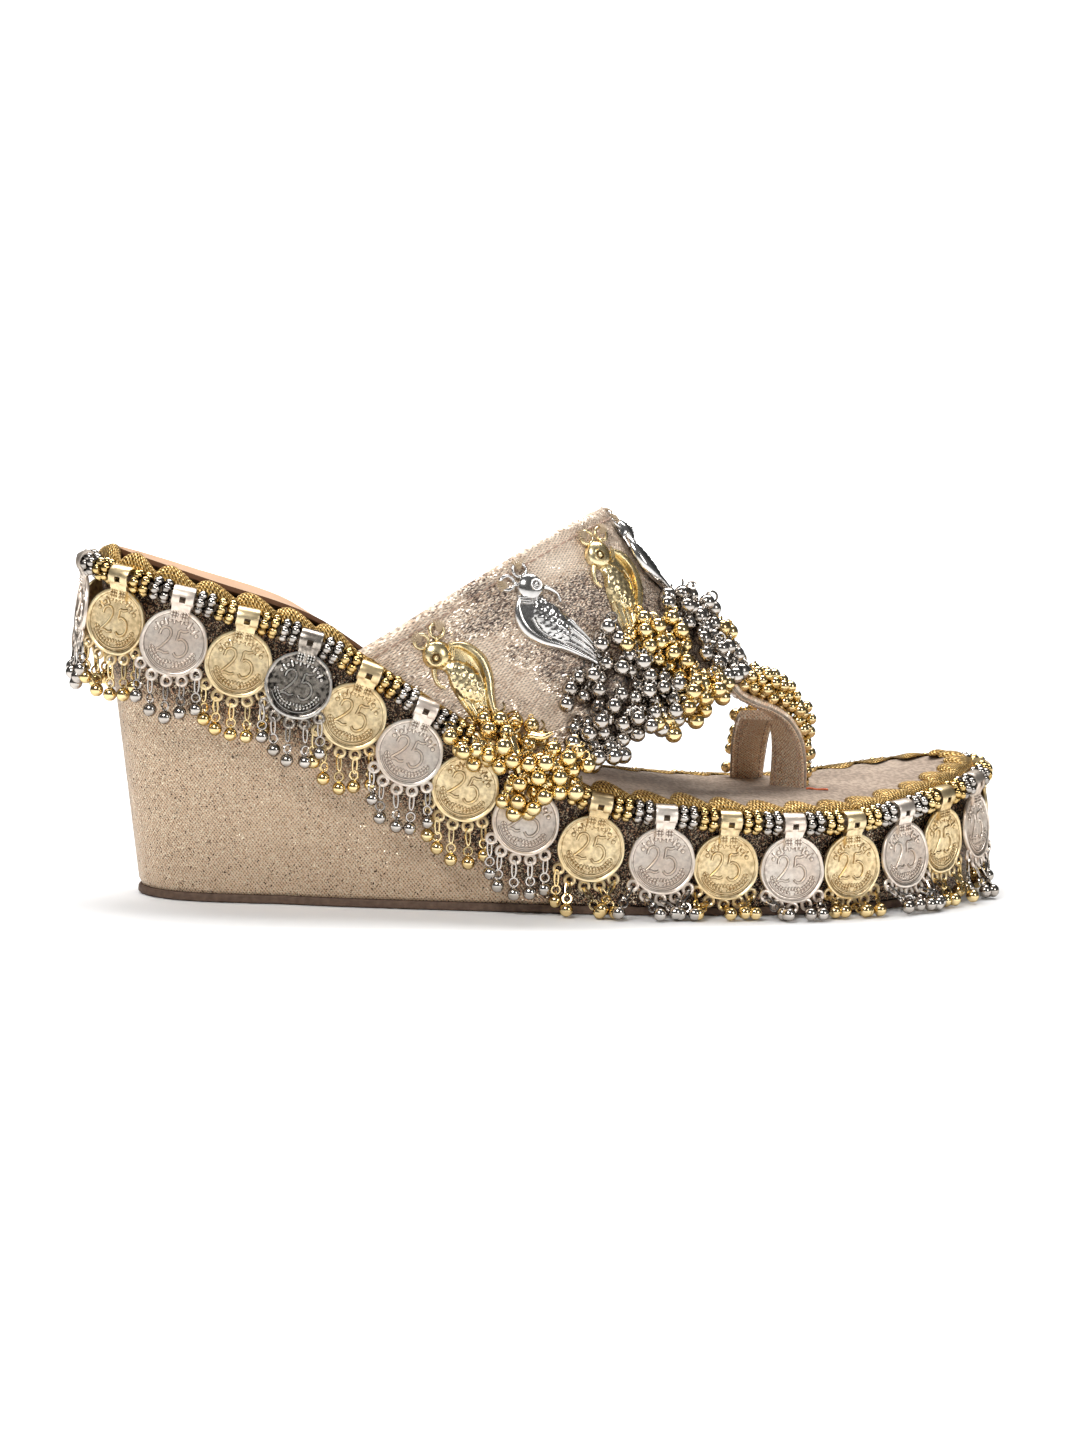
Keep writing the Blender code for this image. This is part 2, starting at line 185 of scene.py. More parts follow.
def makePiece(name, shape, material, body="root", stands=(), sharp=40):
    mesh = bpy.data.meshes.new(name)
    mesh.from_pydata((np.concatenate(shape.points) * mm).tolist(), [], shape.faces)
    relief = mesh.attributes.new("relief", "FLOAT", "POINT")
    relief.data.foreach_set("value", np.concatenate(shape.relief).astype(np.float32))
    layer = mesh.uv_layers.new(name="cloth")
    corners = np.zeros(len(mesh.loops), np.int32)
    mesh.loops.foreach_get("vertex_index", corners)
    layer.data.foreach_set("uv", np.concatenate(shape.cloth)[corners].astype(np.float32).ravel())
    mesh.validate()
    mesh.materials.append(material)
    mesh.shade_smooth()
    mesh.set_sharp_from_angle(angle=math.radians(sharp))
    piece = bpy.data.objects.new(name, mesh)
    bpy.context.scene.collection.objects.link(piece)
    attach(piece, body)
    if stands:
        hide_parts(*stands)
    return piece


# the last: plan, rim height and vamp, the same sizes as the solids

last = {
    "heelTip": -126.0, "toeTip": 133.0, "heelRound": 40.0, "toeRound": 70.0,
    "rimInset": 3.4, "footbedRise": 3.3, "insoleThick": 2.7,
    "heelLean": 13.5, "wallTaper": 0.11, "taperPace": 1.6, "outsoleThick": 2.2, "clear": 0.3,
}
plan = {
    "x":      [-126, -90, -60, -20, 20, 55, 85, 108, 133],
    "half":   [27.0, 27.1, 31.9, 35.8, 39.9, 41.8, 42.5, 42.3, 42.0],
    "centre": [-1.5, 0.0, -1.5, -3.7, -5.2, -3.5, 0.5, 6.4, 11.2],
}
crest = {
    "x": [-126, -95, -65, -40, -15, 10, 35, 60, 85, 105, 133],
    "z": [91.0, 81.5, 71.7, 57.0, 42.0, 31.0, 27.5, 25.8, 26.3, 29.3, 34.6],
}
vamp = {
    "at": [0.0, 1.0], "footX": [-57.0, -2.0], "crownX": [17.8, 55.0], "crownZ": [106.5, 60.0],
    "wall": 2.3, "shoulder": 2.2, "bow": 3.5, "skew": [26.0, 12.0], "skewPower": 1.2, "crownShare": 0.7,
}
nearLeg = {
    "at":   [0, 1, 2, 3, 4, 5, 6, 7, 8],
    "x":    [53.6, 57.4, 62.2, 67.0, 71.4, 74.4, 75.7, 76.1, 76.2],
    "y":    [-2.2, -1.6, -0.8, 0.6, 2.4, 4.4, 6.2, 7.6, 8.0],
    "z":    [61.6, 56.9, 54.4, 52.4, 49.0, 43.4, 37.0, 30.0, 27.0],
    "turn": [0, 0, 3, 10, 20, 31, 39, 44, 45],
    "width": 11.0, "steps": 60,
}
farLeg = {
    "at":   [0, 1, 2, 3, 4, 5, 6],
    "x":    [65.2, 65.8, 66.6, 67.4, 68.2, 68.6, 68.7],
    "y":    [3.8, 8.0, 13.6, 19.8, 24.4, 26.8, 27.4],
    "z":    [49.6, 48.5, 45.6, 40.2, 34.2, 29.4, 27.0],
    "turn": [78, 79, 82, 92, 102, 106, 106],
    "width": 9.8, "steps": 44,
}
strapThick = 2.3


def centreLine(x):
    return smoothRead(plan, "centre", x)


def halfWidth(x):
    fromHeel = np.clip((last["heelTip"] + last["heelRound"] - x) / last["heelRound"], 0, 1)
    fromToe = np.clip((x - last["toeTip"] + last["toeRound"]) / last["toeRound"], 0, 1)
    heelShare, toeShare = (np.sqrt(np.clip(1 - share ** 2, 0, 1)) for share in (fromHeel, fromToe))
    return smoothRead(plan, "half", x) * heelShare * toeShare


def stringHeight(x):
    return smoothRead(crest, "z", np.clip(x, last["heelTip"], last["toeTip"]))


def footbedHeight(x):
    return stringHeight(x) + last["footbedRise"]


def stationXs(endSteps, middleSteps, firstDegrees=4):
    first = math.radians(firstDegrees)
    heelTurns = np.linspace(first, math.pi / 2, endSteps)
    toeTurns = np.linspace(math.pi / 2, first, endSteps + 4)
    heel = last["heelTip"] + last["heelRound"] * (1 - np.cos(heelTurns))
    toe = last["toeTip"] - last["toeRound"] * (1 - np.cos(toeTurns))
    return np.concatenate([heel, np.linspace(heel[-1], toe[0], middleSteps + 1)[1:-1], toe])


def rimLoop(xs, inset):
    # closed plan loop: lateral side from heel to toe, then the medial side back
    half = halfWidth(xs)
    centre = centreLine(xs)
    loop = np.concatenate([np.stack([xs, centre - half], 1), np.stack([xs, centre + half], 1)[::-1]])
    along = unit(np.roll(loop, -1, axis=0) - np.roll(loop, 1, axis=0))
    return loop + inset * np.stack([-along[:, 1], along[:, 0]], 1)


def floorPlan(loop):
    back = np.clip(loop[:, 0] / (last["heelTip"] + last["rimInset"]), 0, 1)
    taper = 1 - last["wallTaper"] * np.minimum(1, last["taperPace"] * back)
    return np.stack([loop[:, 0] + last["heelLean"] * back ** 2, loop[:, 1] * taper], 1)


def loopLengths(loop):
    return lengthsAlong(np.concatenate([loop, loop[:1]]))


def capFaces(n, start, flip=False):
    # strips across a loop whose second half runs back beside the first
    faces = [(start + i, start + i + 1, start + n - 2 - i, start + n - 1 - i) for i in range(n // 2 - 1)]
    return [face[::-1] for face in faces] if flip else faces


def loftLoops(shape, loops, uAround):
    # a closed body through equal loops, with a strip cap at both ends
    n = len(loops[0])
    down = np.concatenate([np.stack([uAround, loop[:, 2]], 1) for loop in loops])
    faces = gridFaces(len(loops), n, wrapColumns=True, flip=True)
    faces += capFaces(n, 0, flip=True) + capFaces(n, (len(loops) - 1) * n)
    shape.add(np.concatenate(loops), faces, cloth=down)


def vampPoint(along, angle):
    # the vamp's outer face: a hoop from the lateral foot over the crown, for arrays of angles
    angle = np.atleast_1d(angle)

    def at(name):
        return np.interp(along, vamp["at"], vamp[name])

    side = -np.sign(np.cos(angle)) * np.abs(np.cos(angle)) ** (2 / vamp["shoulder"])
    rise = np.maximum(0, np.sin(angle)) ** (2 / vamp["shoulder"])
    skew = at("skew") * np.maximum(0, side) ** vamp["skewPower"]
    footX = at("footX") + skew
    foot = np.stack([footX, centreLine(footX), footbedHeight(footX) - last["insoleThick"]], 1)
    crownY = float(centreLine(at("footX"))) * vamp["crownShare"]
    crown = np.array([at("crownX"), crownY, at("crownZ")])
    reach = crown - foot
    points = foot + rise[:, None] * reach
    points[:, 0] += skew * rise
    points[:, 1] += (halfWidth(footX) - last["rimInset"] - last["clear"]) * side
    back = unit(np.stack([-reach[:, 2], 0 * skew, reach[:, 0]], 1))
    return points + back * (vamp["bow"] * np.abs(np.sin(2 * angle)))[:, None]


def vampNormal(along, angle):
    angle = np.clip(np.atleast_1d(angle), 0.02, math.pi - 0.02)
    a = min(max(along, 0.01), 0.99)
    byAlong = vampPoint(a + 0.01, angle) - vampPoint(a - 0.01, angle)
    byAngle = vampPoint(a, angle + 0.01) - vampPoint(a, angle - 0.01)
    return unit(np.cross(byAlong, byAngle))


def legFrames(leg, steps=None):
    at = np.linspace(leg["at"][0], leg["at"][-1], steps or leg["steps"])
    centres = np.stack([smoothRead(leg, k, at, "at") for k in "xyz"], 1)
    turn = np.radians(smoothRead(leg, "turn", at, "at"))
    along = unit(np.gradient(centres, axis=0))
    across = np.stack([np.sin(turn), -np.cos(turn), 0 * turn], 1)
    across = unit(across - along * np.sum(along * across, axis=1)[:, None])
    return centres, across, -np.cross(along, across)


# node groups and material tools

class Nodes:
    # one node tree, with short ways to add what it needs
    def __init__(self, tree):
        self.tree = tree

    def add(self, kind, inputs=None, **settings):
        node = self.tree.nodes.new("ShaderNode" + kind)
        for name, value in settings.items():
            setattr(node, name, value)
        for label, value in (inputs or {}).items():
            socket = node.inputs[label]
            if isinstance(value, bpy.types.NodeSocket):
                self.tree.links.new(value, socket)
            elif value is not None:
                socket.default_value = (*value, 1) if socket.type == "RGBA" else value
        return node

    def group(self, group, **values):
        return self.add("Group", values, node_tree=group).outputs

    def math(self, operation, a, b=None):
        return self.add("Math", {0: a, 1: b}, operation=operation).outputs[0]

    def vector(self, operation, a, b=None):
        return self.add("VectorMath", {0: a, 1: b}, operation=operation).outputs[0]

    def relief(self):
        return self.add("Attribute", attribute_name="relief").outputs["Fac"]

    def cloth(self):
        return self.add("UVMap", uv_map="cloth").outputs[0]

    def position(self):
        return self.add("TexCoord").outputs["Object"]

    def noise(self, scale, detail=3.0, vector=None):
        vector = self.position() if vector is None else vector
        return self.add("TexNoise", {"Scale": scale, "Detail": detail, "Vector": vector}).outputs["Fac"]

    def ramp(self, factor, *stops):
        node = self.add("ValToRGB", {"Fac": factor})
        elements = node.color_ramp.elements
        while len(elements) < len(stops):
            elements.new(0.5)
        for element, (position, colour) in zip(elements, stops):
            element.position = position
            element.color = (*colour, 1)
        return node.outputs["Color"]

    def mix(self, factor, a, b):
        return self.add("Mix", {0: factor, 6: a, 7: b}, data_type="RGBA").outputs[2]

    def mixNormals(self, factor, a, b):
        return self.add("Mix", {0: factor, 4: a, 5: b}, data_type="VECTOR").outputs[1]

    def range(self, value, low, high):
        return self.add("MapRange", {"Value": value, "To Min": low, "To Max": high}).outputs["Result"]

    def steps(self, value, low, high, share=None):
        # rises smoothly from nought at low to one, or to a share of it, at high
        limits = {"Value": value, "From Min": low, "From Max": high}
        result = self.add("MapRange", limits, interpolation_type="SMOOTHSTEP").outputs["Result"]
        return result if share is None else self.math("MULTIPLY", result, share)

    def sway(self, value, amount):
        # a value from 0 to 1 made to vary round nought
        return self.math("MULTIPLY", self.math("SUBTRACT", value, 0.5), amount)

    def bump(self, height, distance, strength=1.0, normal=None):
        sizes = {"Height": height, "Distance": distance * mm, "Strength": strength, "Normal": normal}
        return self.add("Bump", sizes).outputs["Normal"]


class Group(Nodes):
    # a node group with named inputs and outputs
    def __init__(self, name, inputs, outputs):
        super().__init__(bpy.data.node_groups.new(name, "ShaderNodeTree"))
        for label, value in inputs.items():
            kind = "NodeSocketVector" if value is None else "NodeSocketFloat"
            socket = self.tree.interface.new_socket(label, in_out="INPUT", socket_type=kind)
            if value is not None:
                socket.default_value = value
        for label, kind in outputs.items():
            self.tree.interface.new_socket(label, in_out="OUTPUT", socket_type="NodeSocket" + kind)
        self.given = self.tree.nodes.new("NodeGroupInput").outputs
        self.out = self.tree.nodes.new("NodeGroupOutput").inputs

    def done(self, **values):
        for label, value in values.items():
            self.tree.links.new(value, self.out[label])
        return self.tree


def makeGlitterGroup():
    # flat flakes: each cell turns the surface a little its own way, and some cells shine
    flakes = Group("glitterFlakes", {"Vector": None, "Scale": 3000.0, "Share": 0.2, "Turn": 0.6},
                   {"Flake": "Float", "Random": "Float", "Normal": "Vector"})
    places = {label: flakes.given[label] for label in ("Vector", "Scale")}
    cells = flakes.add("TexVoronoi", places, feature="F1").outputs["Color"]
    split = flakes.add("SeparateColor", {"Color": cells}).outputs
    shining = flakes.math("LESS_THAN", split[0], flakes.given["Share"])
    lean = flakes.vector("SUBTRACT", cells, (0.5, 0.5, 0.5))
    amount = flakes.math("MULTIPLY", shining, flakes.given["Turn"])
    lean = flakes.add("VectorMath", {0: lean, "Scale": amount}, operation="SCALE").outputs[0]
    surface = flakes.add("NewGeometry").outputs["Normal"]
    turned = flakes.vector("NORMALIZE", flakes.vector("ADD", surface, lean))
    return flakes.done(Flake=shining, Random=split[1], Normal=turned)


def makeTwillGroup():
    # diagonal threads in the cloth coordinates, which are in millimetres
    twill = Group("twillThreads", {"Pitch": 0.7, "Lean": 1.0}, {"Height": "Float", "Cloth": "Vector"})
    place = twill.cloth()
    split = twill.add("SeparateXYZ", {0: place}).outputs
    leaning = twill.math("MULTIPLY", split[1], twill.given["Lean"])
    turns = twill.math("DIVIDE", 2 * math.pi, twill.given["Pitch"])
    ways = [twill.math(way, split[0], leaning) for way in ("ADD", "SUBTRACT")]
    one, two = [twill.math("SINE", twill.math("MULTIPLY", way, turns)) for way in ways]
    height = twill.math("ADD", one, twill.math("MULTIPLY", two, 0.8))
    height = twill.math("ADD", twill.math("MULTIPLY", height, 0.28), 0.5)
    return twill.done(Height=height, Cloth=place)


def makeTarnishGroup():
    # dirt that gathers low in a relief, broken up by noise
    dirt = Group("tarnish", {"Scale": 400.0, "Depth": 0.5}, {"Mask": "Float", "Grain": "Float"})
    grain = dirt.noise(dirt.given["Scale"], 4.0)
    relief = dirt.relief()
    low = dirt.math("SUBTRACT", 1.0, relief)
    patchy = dirt.math("MULTIPLY", dirt.math("SUBTRACT", grain, 0.35), 2.6)
    mask = dirt.math("MULTIPLY", dirt.math("MULTIPLY", low, patchy), dirt.given["Depth"])
    held = dirt.add("Clamp", {0: mask}).outputs[0]
    outlined = dirt.math("MULTIPLY", dirt.math("LESS_THAN", relief, -0.5), 0.8)
    return dirt.done(Mask=dirt.math("MAXIMUM", held, outlined), Grain=grain)


glitterFlakes = makeGlitterGroup()
twillThreads = makeTwillGroup()
tarnish = makeTarnishGroup()
print("node groups ready")


class Finish(Nodes):
    # one material and its shader
    def __init__(self, name, **values):
        self.material = bpy.data.materials.new(name)
        self.material.use_nodes = True
        super().__init__(self.material.node_tree)
        self.shader = self.tree.nodes["Principled BSDF"].inputs
        names = {"roughness": "Roughness", "metallic": "Metallic", "specular": "Specular IOR Level",
                 "sheen": "Sheen Weight", "sheenRoughness": "Sheen Roughness"}
        for label, value in values.items():
            self.shader[names[label]].default_value = value

    def flakes(self, place, *layers):
        # each layer has its scale, the share of flakes that shine and how far they turn
        return [self.group(glitterFlakes, Vector=place, Scale=scale, Share=share, Turn=turn)
                for scale, share, turn in layers]

    def done(self, colour, normal, roughness=None):
        links = {"Base Color": colour, "Normal": normal, "Roughness": roughness}
        for label, value in links.items():
            if value is not None:
                self.tree.links.new(value, self.shader[label])
        return self.material


def shaded(colour, share):
    return tuple(c * share for c in colour)


def lurexCloth():
    # beige twill with a gold thread that glints, dark pin holes, and a painted shadow under the rim: a dark
    # sparkling band where the coins and their chains shade the cloth
    cloth = Finish("lurexTwill", roughness=0.5, metallic=0.4, sheen=0.08, sheenRoughness=0.4)
    twill = cloth.group(twillThreads, Pitch=1.05, Lean=0.9)
    fine, glints, holes = cloth.flakes(twill["Cloth"], (3.0, 0.5, 0.35), (4.2, 0.14, 1.1), (2.8, 0.026, 0.0))
    base = cloth.ramp(cloth.noise(24, 4), (0.3, (0.51, 0.335, 0.205)), (0.7, (0.59, 0.40, 0.255)))
    base = cloth.mix(cloth.steps(twill["Height"], 0.62, 0.15), base, (0.13, 0.08, 0.045))
    base = cloth.mix(cloth.range(fine["Random"], 0.0, 0.45), base, (0.86, 0.70, 0.53))
    # painted shadow: the wedge's shade value, broken up by the flakes, turns the cloth dark with sparkles
    # under the rim
    shadowBand = cloth.math("ADD", cloth.relief(), cloth.sway(fine["Random"], 0.5))
    paintedDarkTone = cloth.mix(cloth.steps(fine["Random"], 0.7, 1.0), (0.034, 0.017, 0.009), (0.72, 0.43, 0.26))
    base = cloth.mix(cloth.steps(shadowBand, 0.35, 0.75), base, paintedDarkTone)
    base = cloth.mix(glints["Flake"], base, (1.0, 0.85, 0.62))
    base = cloth.mix(holes["Flake"], base, (0.06, 0.035, 0.022))
    tilted = cloth.mixNormals(glints["Flake"], fine["Normal"], glints["Normal"])
    normal = cloth.bump(twill["Height"], 0.10, 0.7, tilted)
    return cloth.done(base, normal, cloth.range(glints["Flake"], 0.52, 0.22))


def suede(name, colour, dark):
    # brushed nap: lighter and darker fibres, drawn out across the shoe
    nap = Finish(name, roughness=0.95, sheen=0.12, sheenRoughness=0.6, specular=0.15)
    brushed = nap.add("Mapping", {"Vector": nap.position(), "Scale": (1.0, 0.35, 1.0)}).outputs[0]
    fine = nap.noise(1100, 4, brushed)
    base = nap.ramp(nap.noise(60, 3), (0.35, dark), (0.65, colour))
    base = nap.mix(nap.steps(fine, 0.48, 0.6, 0.45), base, shaded(dark, 0.55))
    base = nap.mix(nap.steps(fine, 0.48, 0.38, 0.35), base, shaded(colour, 1.35))
    return nap.done(base, nap.bump(fine, 0.15, 0.6))


def smoothLeather():
    skin = Finish("padLeather", roughness=0.5, specular=0.4)
    base = skin.ramp(skin.noise(45, 4), (0.3, (0.60, 0.37, 0.225)), (0.7, (0.68, 0.44, 0.28)))
    base = skin.mix(skin.relief(), base, (0.16, 0.075, 0.035))  # painted shadow: wall and underside dark for the gap under the pad's lifted edge
    return skin.done(base, skin.bump(skin.noise(900, 2), 0.08, 0.4))


def glitterLame(name, base, bright, dark, middle, spread):
    # foil-coated cloth: a fine grid of flakes, with a painted highlight in some places and a painted dark
    # reflection in others, broken up where they meet
    lame = Finish(name, metallic=0.45, roughness=0.42)
    place = lame.cloth()
    fine, glints, specks = lame.flakes(place, (3.2, 1.0, 0.3), (3.6, 0.32, 1.1), (3.4, 0.12, 0.0))
    slanted = {"Vector": place, "Rotation": (0.0, 0.0, 0.35), "Scale": (0.075, 0.03, 1.0)}
    wander = lame.noise(2.2, 4, lame.add("Mapping", slanted).outputs[0])
    # painted reflection level: the shade value from the vamp's table, plus a slanting noise
    paintedReflectionLevel = lame.math("ADD", lame.relief(), lame.sway(wander, 0.7))
    level = lame.math("ADD", paintedReflectionLevel, lame.sway(fine["Random"], spread))
    tone = lame.mix(lame.range(fine["Random"], -0.35, 1.1), base, bright)
    speckled = lame.math("MULTIPLY", specks["Flake"], lame.steps(paintedReflectionLevel, -0.1, 0.35))
    tone = lame.mix(speckled, tone, dark)
    # painted highlight where the painted reflection level is low
    tone = lame.mix(lame.steps(paintedReflectionLevel, 0.15, -0.35, 0.6), tone, bright)
    # painted dark reflection with sparkles, where the level passes the middle
    paintedDarkTone = lame.mix(lame.steps(fine["Random"], 0.5, 0.75), dark, base)
    paintedDarkTone = lame.mix(lame.steps(fine["Random"], 0.78, 0.84), paintedDarkTone, bright)
    tone = lame.mix(lame.steps(level, middle - 0.05, middle + 0.05), tone, paintedDarkTone)
    weave = lame.group(twillThreads, Pitch=1.0, Lean=1.0)
    tone = lame.mix(lame.steps(weave["Height"], 0.5, 0.1, 0.6), tone, dark)
    away = lame.math("ABSOLUTE", lame.math("SUBTRACT", paintedReflectionLevel, middle))
    often = lame.range(lame.steps(away, 0.0, 0.3), 0.95, 0.25)
    often = lame.math("MAXIMUM", often, lame.steps(paintedReflectionLevel, -0.08, -0.3))
    shining = lame.math("MULTIPLY", glints["Flake"], often)
    tone = lame.mix(shining, tone, bright)
    tilted = lame.mixNormals(shining, fine["Normal"], glints["Normal"])
    return lame.done(tone, tilted, lame.range(shining, 0.45, 0.2))


def zariRibbon():
    # gold metal-thread ribbon: fine slanting ribs crossed by dark core threads
    ribbon = Finish("zariRibbon", metallic=0.8, roughness=0.36)
    twill = ribbon.group(twillThreads, Pitch=1.2, Lean=0.9)
    fine, = ribbon.flakes(twill["Cloth"], (2.6, 1.0, 0.6))
    base = ribbon.ramp(twill["Height"], (0.25, (0.035, 0.014, 0.003)), (0.52, (0.64, 0.35, 0.08)),
                       (0.82, (1.0, 0.77, 0.37)))
    base = ribbon.mix(ribbon.range(fine["Random"], 0.0, 0.75), base, (0.30, 0.165, 0.035))
    return ribbon.done(base, ribbon.bump(twill["Height"], 0.22, 1.0, fine["Normal"]))


def castMetal(name, bright, dull, dirt, roughness, depth, grain=0.05, rim=0.8, raised=None):
    # plated casting: soft wear, dirt low in its relief and a darker glancing edge
    metal = Finish(name, metallic=1.0, roughness=roughness)
    worn = metal.group(tarnish, Scale=800.0, Depth=depth)
    base = metal.ramp(metal.noise(120, 3), (0.35, dull), (0.65, bright))
    base = metal.mix(worn["Mask"], base, dirt)
    if raised:  # handling keeps the high parts bright
        base = metal.mix(metal.steps(metal.relief(), 0.6, 0.95), base, raised)
    metal.shader["Specular Tint"].default_value = (*shaded(dull, 1 - rim), 1)
    rough = metal.range(worn["Grain"], roughness * 0.75, roughness * 1.35)
    return metal.done(base, metal.bump(worn["Grain"], grain, 0.6), rough)


def speckled(name, dark, light, scale, detail, depth, **values):
    plain = Finish(name, **values)
    fine = plain.noise(scale, detail)
    return plain.done(plain.ramp(fine, (0.3, dark), (0.7, light)), plain.bump(fine, depth, 0.5))


def threadFinish(name, colour):
    return speckled(name, shaded(colour, 0.7), colour, 2500, 2, 0.05, roughness=0.8, sheen=0.3)


castings = {  # bright, dull and dirty colour, roughness, depth of dirt, grain, darkness of the edge
    "goldCoin": ((0.98, 0.82, 0.52), (0.93, 0.72, 0.41), (0.27, 0.15, 0.05), 0.34, 0.8),
    "silverCoin": ((0.99, 0.90, 0.80), (0.92, 0.78, 0.66), (0.20, 0.13, 0.09), 0.38, 0.5),
    "darkCoin": ((0.80, 0.72, 0.62), (0.52, 0.45, 0.38), (0.03, 0.026, 0.023), 0.28, 1.5, 0.05, 0.8,
                 (0.95, 0.90, 0.84)),
    "goldBell": ((0.95, 0.76, 0.42), (0.86, 0.64, 0.31), (0.14, 0.075, 0.02), 0.14, 0.5, 0.01, 1.0),
    "silverBell": ((0.66, 0.61, 0.56), (0.50, 0.45, 0.40), (0.07, 0.06, 0.055), 0.14, 0.5, 0.01, 1.0),
    "goldSpacer": ((0.92, 0.70, 0.34), (0.70, 0.48, 0.19), (0.05, 0.024, 0.007), 0.17, 1.6, 0.01, 1.0),
    "silverSpacer": ((0.66, 0.61, 0.56), (0.42, 0.38, 0.34), (0.03, 0.024, 0.02), 0.17, 1.6, 0.01, 1.0),
    "goldBird": ((0.97, 0.82, 0.50), (0.93, 0.74, 0.40), (0.26, 0.14, 0.04), 0.26, 1.0, 0.01, 0.5),
    "silverBird": ((0.84, 0.82, 0.80), (0.70, 0.68, 0.66), (0.08, 0.07, 0.065), 0.18, 1.1, 0.01, 0.5),
}
lames = {  # plain colour, bright colour (grains, glints, painted highlight), dark colour (specks, weave, painted dark reflection), painted reflection level at which the dark reflection starts, and how mixed it is there
    "vampLame": ((0.62, 0.44, 0.31), (1.0, 0.85, 0.69), (0.09, 0.06, 0.05), 0.44, 0.55),
    "strapLame": ((0.76, 0.49, 0.31), (1.0, 0.88, 0.72), (0.06, 0.03, 0.016), 0.16, 1.1),
}
threads = {
    "creamThread": (0.50, 0.37, 0.23), "roseThread": (0.50, 0.33, 0.24),
    "orangeThread": (0.80, 0.16, 0.05), "stringCord": (0.25, 0.18, 0.12),
}
finishes = {
    "lurex": lurexCloth(),
    "suede": suede("footbedSuede", (0.41, 0.315, 0.24), (0.29, 0.215, 0.16)),
    "lining": suede("edgeLining", (0.46, 0.375, 0.30), (0.33, 0.265, 0.21)),
    "leather": smoothLeather(),
    "zari": zariRibbon(),
    "rubber": speckled("outsoleRubber", (0.08, 0.045, 0.028), (0.14, 0.085, 0.055), 700, 4, 0.12,
                       roughness=0.75),
    **{name: glitterLame(name, *look) for name, look in lames.items()},
    **{name: castMetal(name, *look) for name, look in castings.items()},
    **{name: threadFinish(name, colour) for name, colour in threads.items()},
}
print("materials ready")


def makePlated(name, shape, kind, gold, body="root", stands=(), sharp=40):
    # a metal piece in either plating
    plating = "gold" if gold else "silver"
    return makePiece(name, shape, finishes[plating + kind], body, stands, sharp)


# sole

# shadeAt, shadeReach and shadeSoft set how far down the wedge the painted shadow of the coins reaches
sole = {"endSteps": 14, "middleSteps": 46, "edgeRound": 0.7, "insoleEdge": 1.1, "lip": 0.4, "bed": 0.1,
        "wedgeRows": [0, 0.02, 0.2, 0.4, 0.55, 0.65, 0.73, 0.8, 0.85, 0.9, 0.94, 0.98, 1.0],
        "sheetRows": [(0.0, 0.5), (0.35, 0.0), (1.8, 0.0), (2.2, 0.3)],  # height and inset
        "insoleInset": 0.5, "insoleAcross": 17, "insoleRound": 0.6, "insoleSkirt": [2.0, 0.6],
        "shadeAt": [-126, -60, 0, 133], "shadeReach": [32.0, 31.0, 36.0, 60.0], "shadeSoft": 14.0}
soleXs = stationXs(sole["endSteps"], sole["middleSteps"])


def makeWedge():
    topLoop = rimLoop(soleXs, last["rimInset"])
    lowLoop = floorPlan(topLoop)
    rounding = topLoop - rimLoop(soleXs, last["rimInset"] + sole["edgeRound"])
    base = last["outsoleThick"] + sole["bed"]
    roof = footbedHeight(topLoop[:, 0]) - sole["insoleEdge"]
    loops = []
    for t in sole["wedgeRows"]:
        flat = lowLoop * (1 - t) + topLoop * t - (rounding if t in (0, 1) else 0)
        loops.append(np.column_stack([flat, base + (roof - base) * t]))
    shape = Shape()
    loftLoops(shape, loops, loopLengths(topLoop)[:-1])
    x, _, z = shape.points[0].T
    reach = np.interp(x, sole["shadeAt"], sole["shadeReach"]) - (footbedHeight(x) - sole["insoleEdge"] - z)
    shape.relief = [np.clip(0.55 + reach / sole["shadeSoft"], 0, 1)]  # painted shadow of the coins: full under the rim, gone lower down
    makePiece("wedgeBlock", shape, finishes["lurex"], stands=["wedge"])


def makeOutsole():
    loops = []
    for z, inset in sole["sheetRows"]:
        flat = floorPlan(rimLoop(soleXs, last["rimInset"] - sole["lip"] + inset))
        loops.append(np.column_stack([flat, np.full(len(flat), z)]))
    shape = Shape()
    loftLoops(shape, loops, loopLengths(rimLoop(soleXs, 0))[:-1])
    makePiece("outsoleSheet", shape, finishes["rubber"], stands=["outsole"])


def makeInsole():
    n = len(soleXs)
    loop = rimLoop(soleXs, last["rimInset"] + sole["insoleInset"])
    across = np.linspace(-1, 1, sole["insoleAcross"])
    rows = []
    for left, right in zip(loop[:n], loop[n:][::-1]):
        for v in across:
            x, y = (left * (1 - v) + right * (1 + v)) / 2
            drop = sole["insoleRound"] * max(0, 1 - (1 - abs(v)) * 8) ** 2
            rows.append((x, y, footbedHeight(x) - drop))
    shape = Shape()
    shape.add(rows, gridFaces(n, len(across)), cloth=[row[:2] for row in rows])
    height = footbedHeight(loop[:, 0])
    skirt = np.concatenate([np.column_stack([loop, height - drop]) for drop in sole["insoleSkirt"]])
    wall = gridFaces(2, len(loop), wrapColumns=True, flip=True)
    shape.add(skirt, wall + capFaces(len(loop), 0, flip=True))
    makePiece("footbed", shape, finishes["suede"], stands=["insole"])


heelPad = {"inset": 7.7, "front": -52.0, "edge": 1.3, "dome": 0.3, "fade": 14.0, "curl": 2.0, "across": 29,
           "bow": 2.5, "clear": 0.1, "endSteps": 16, "middleSteps": 60}


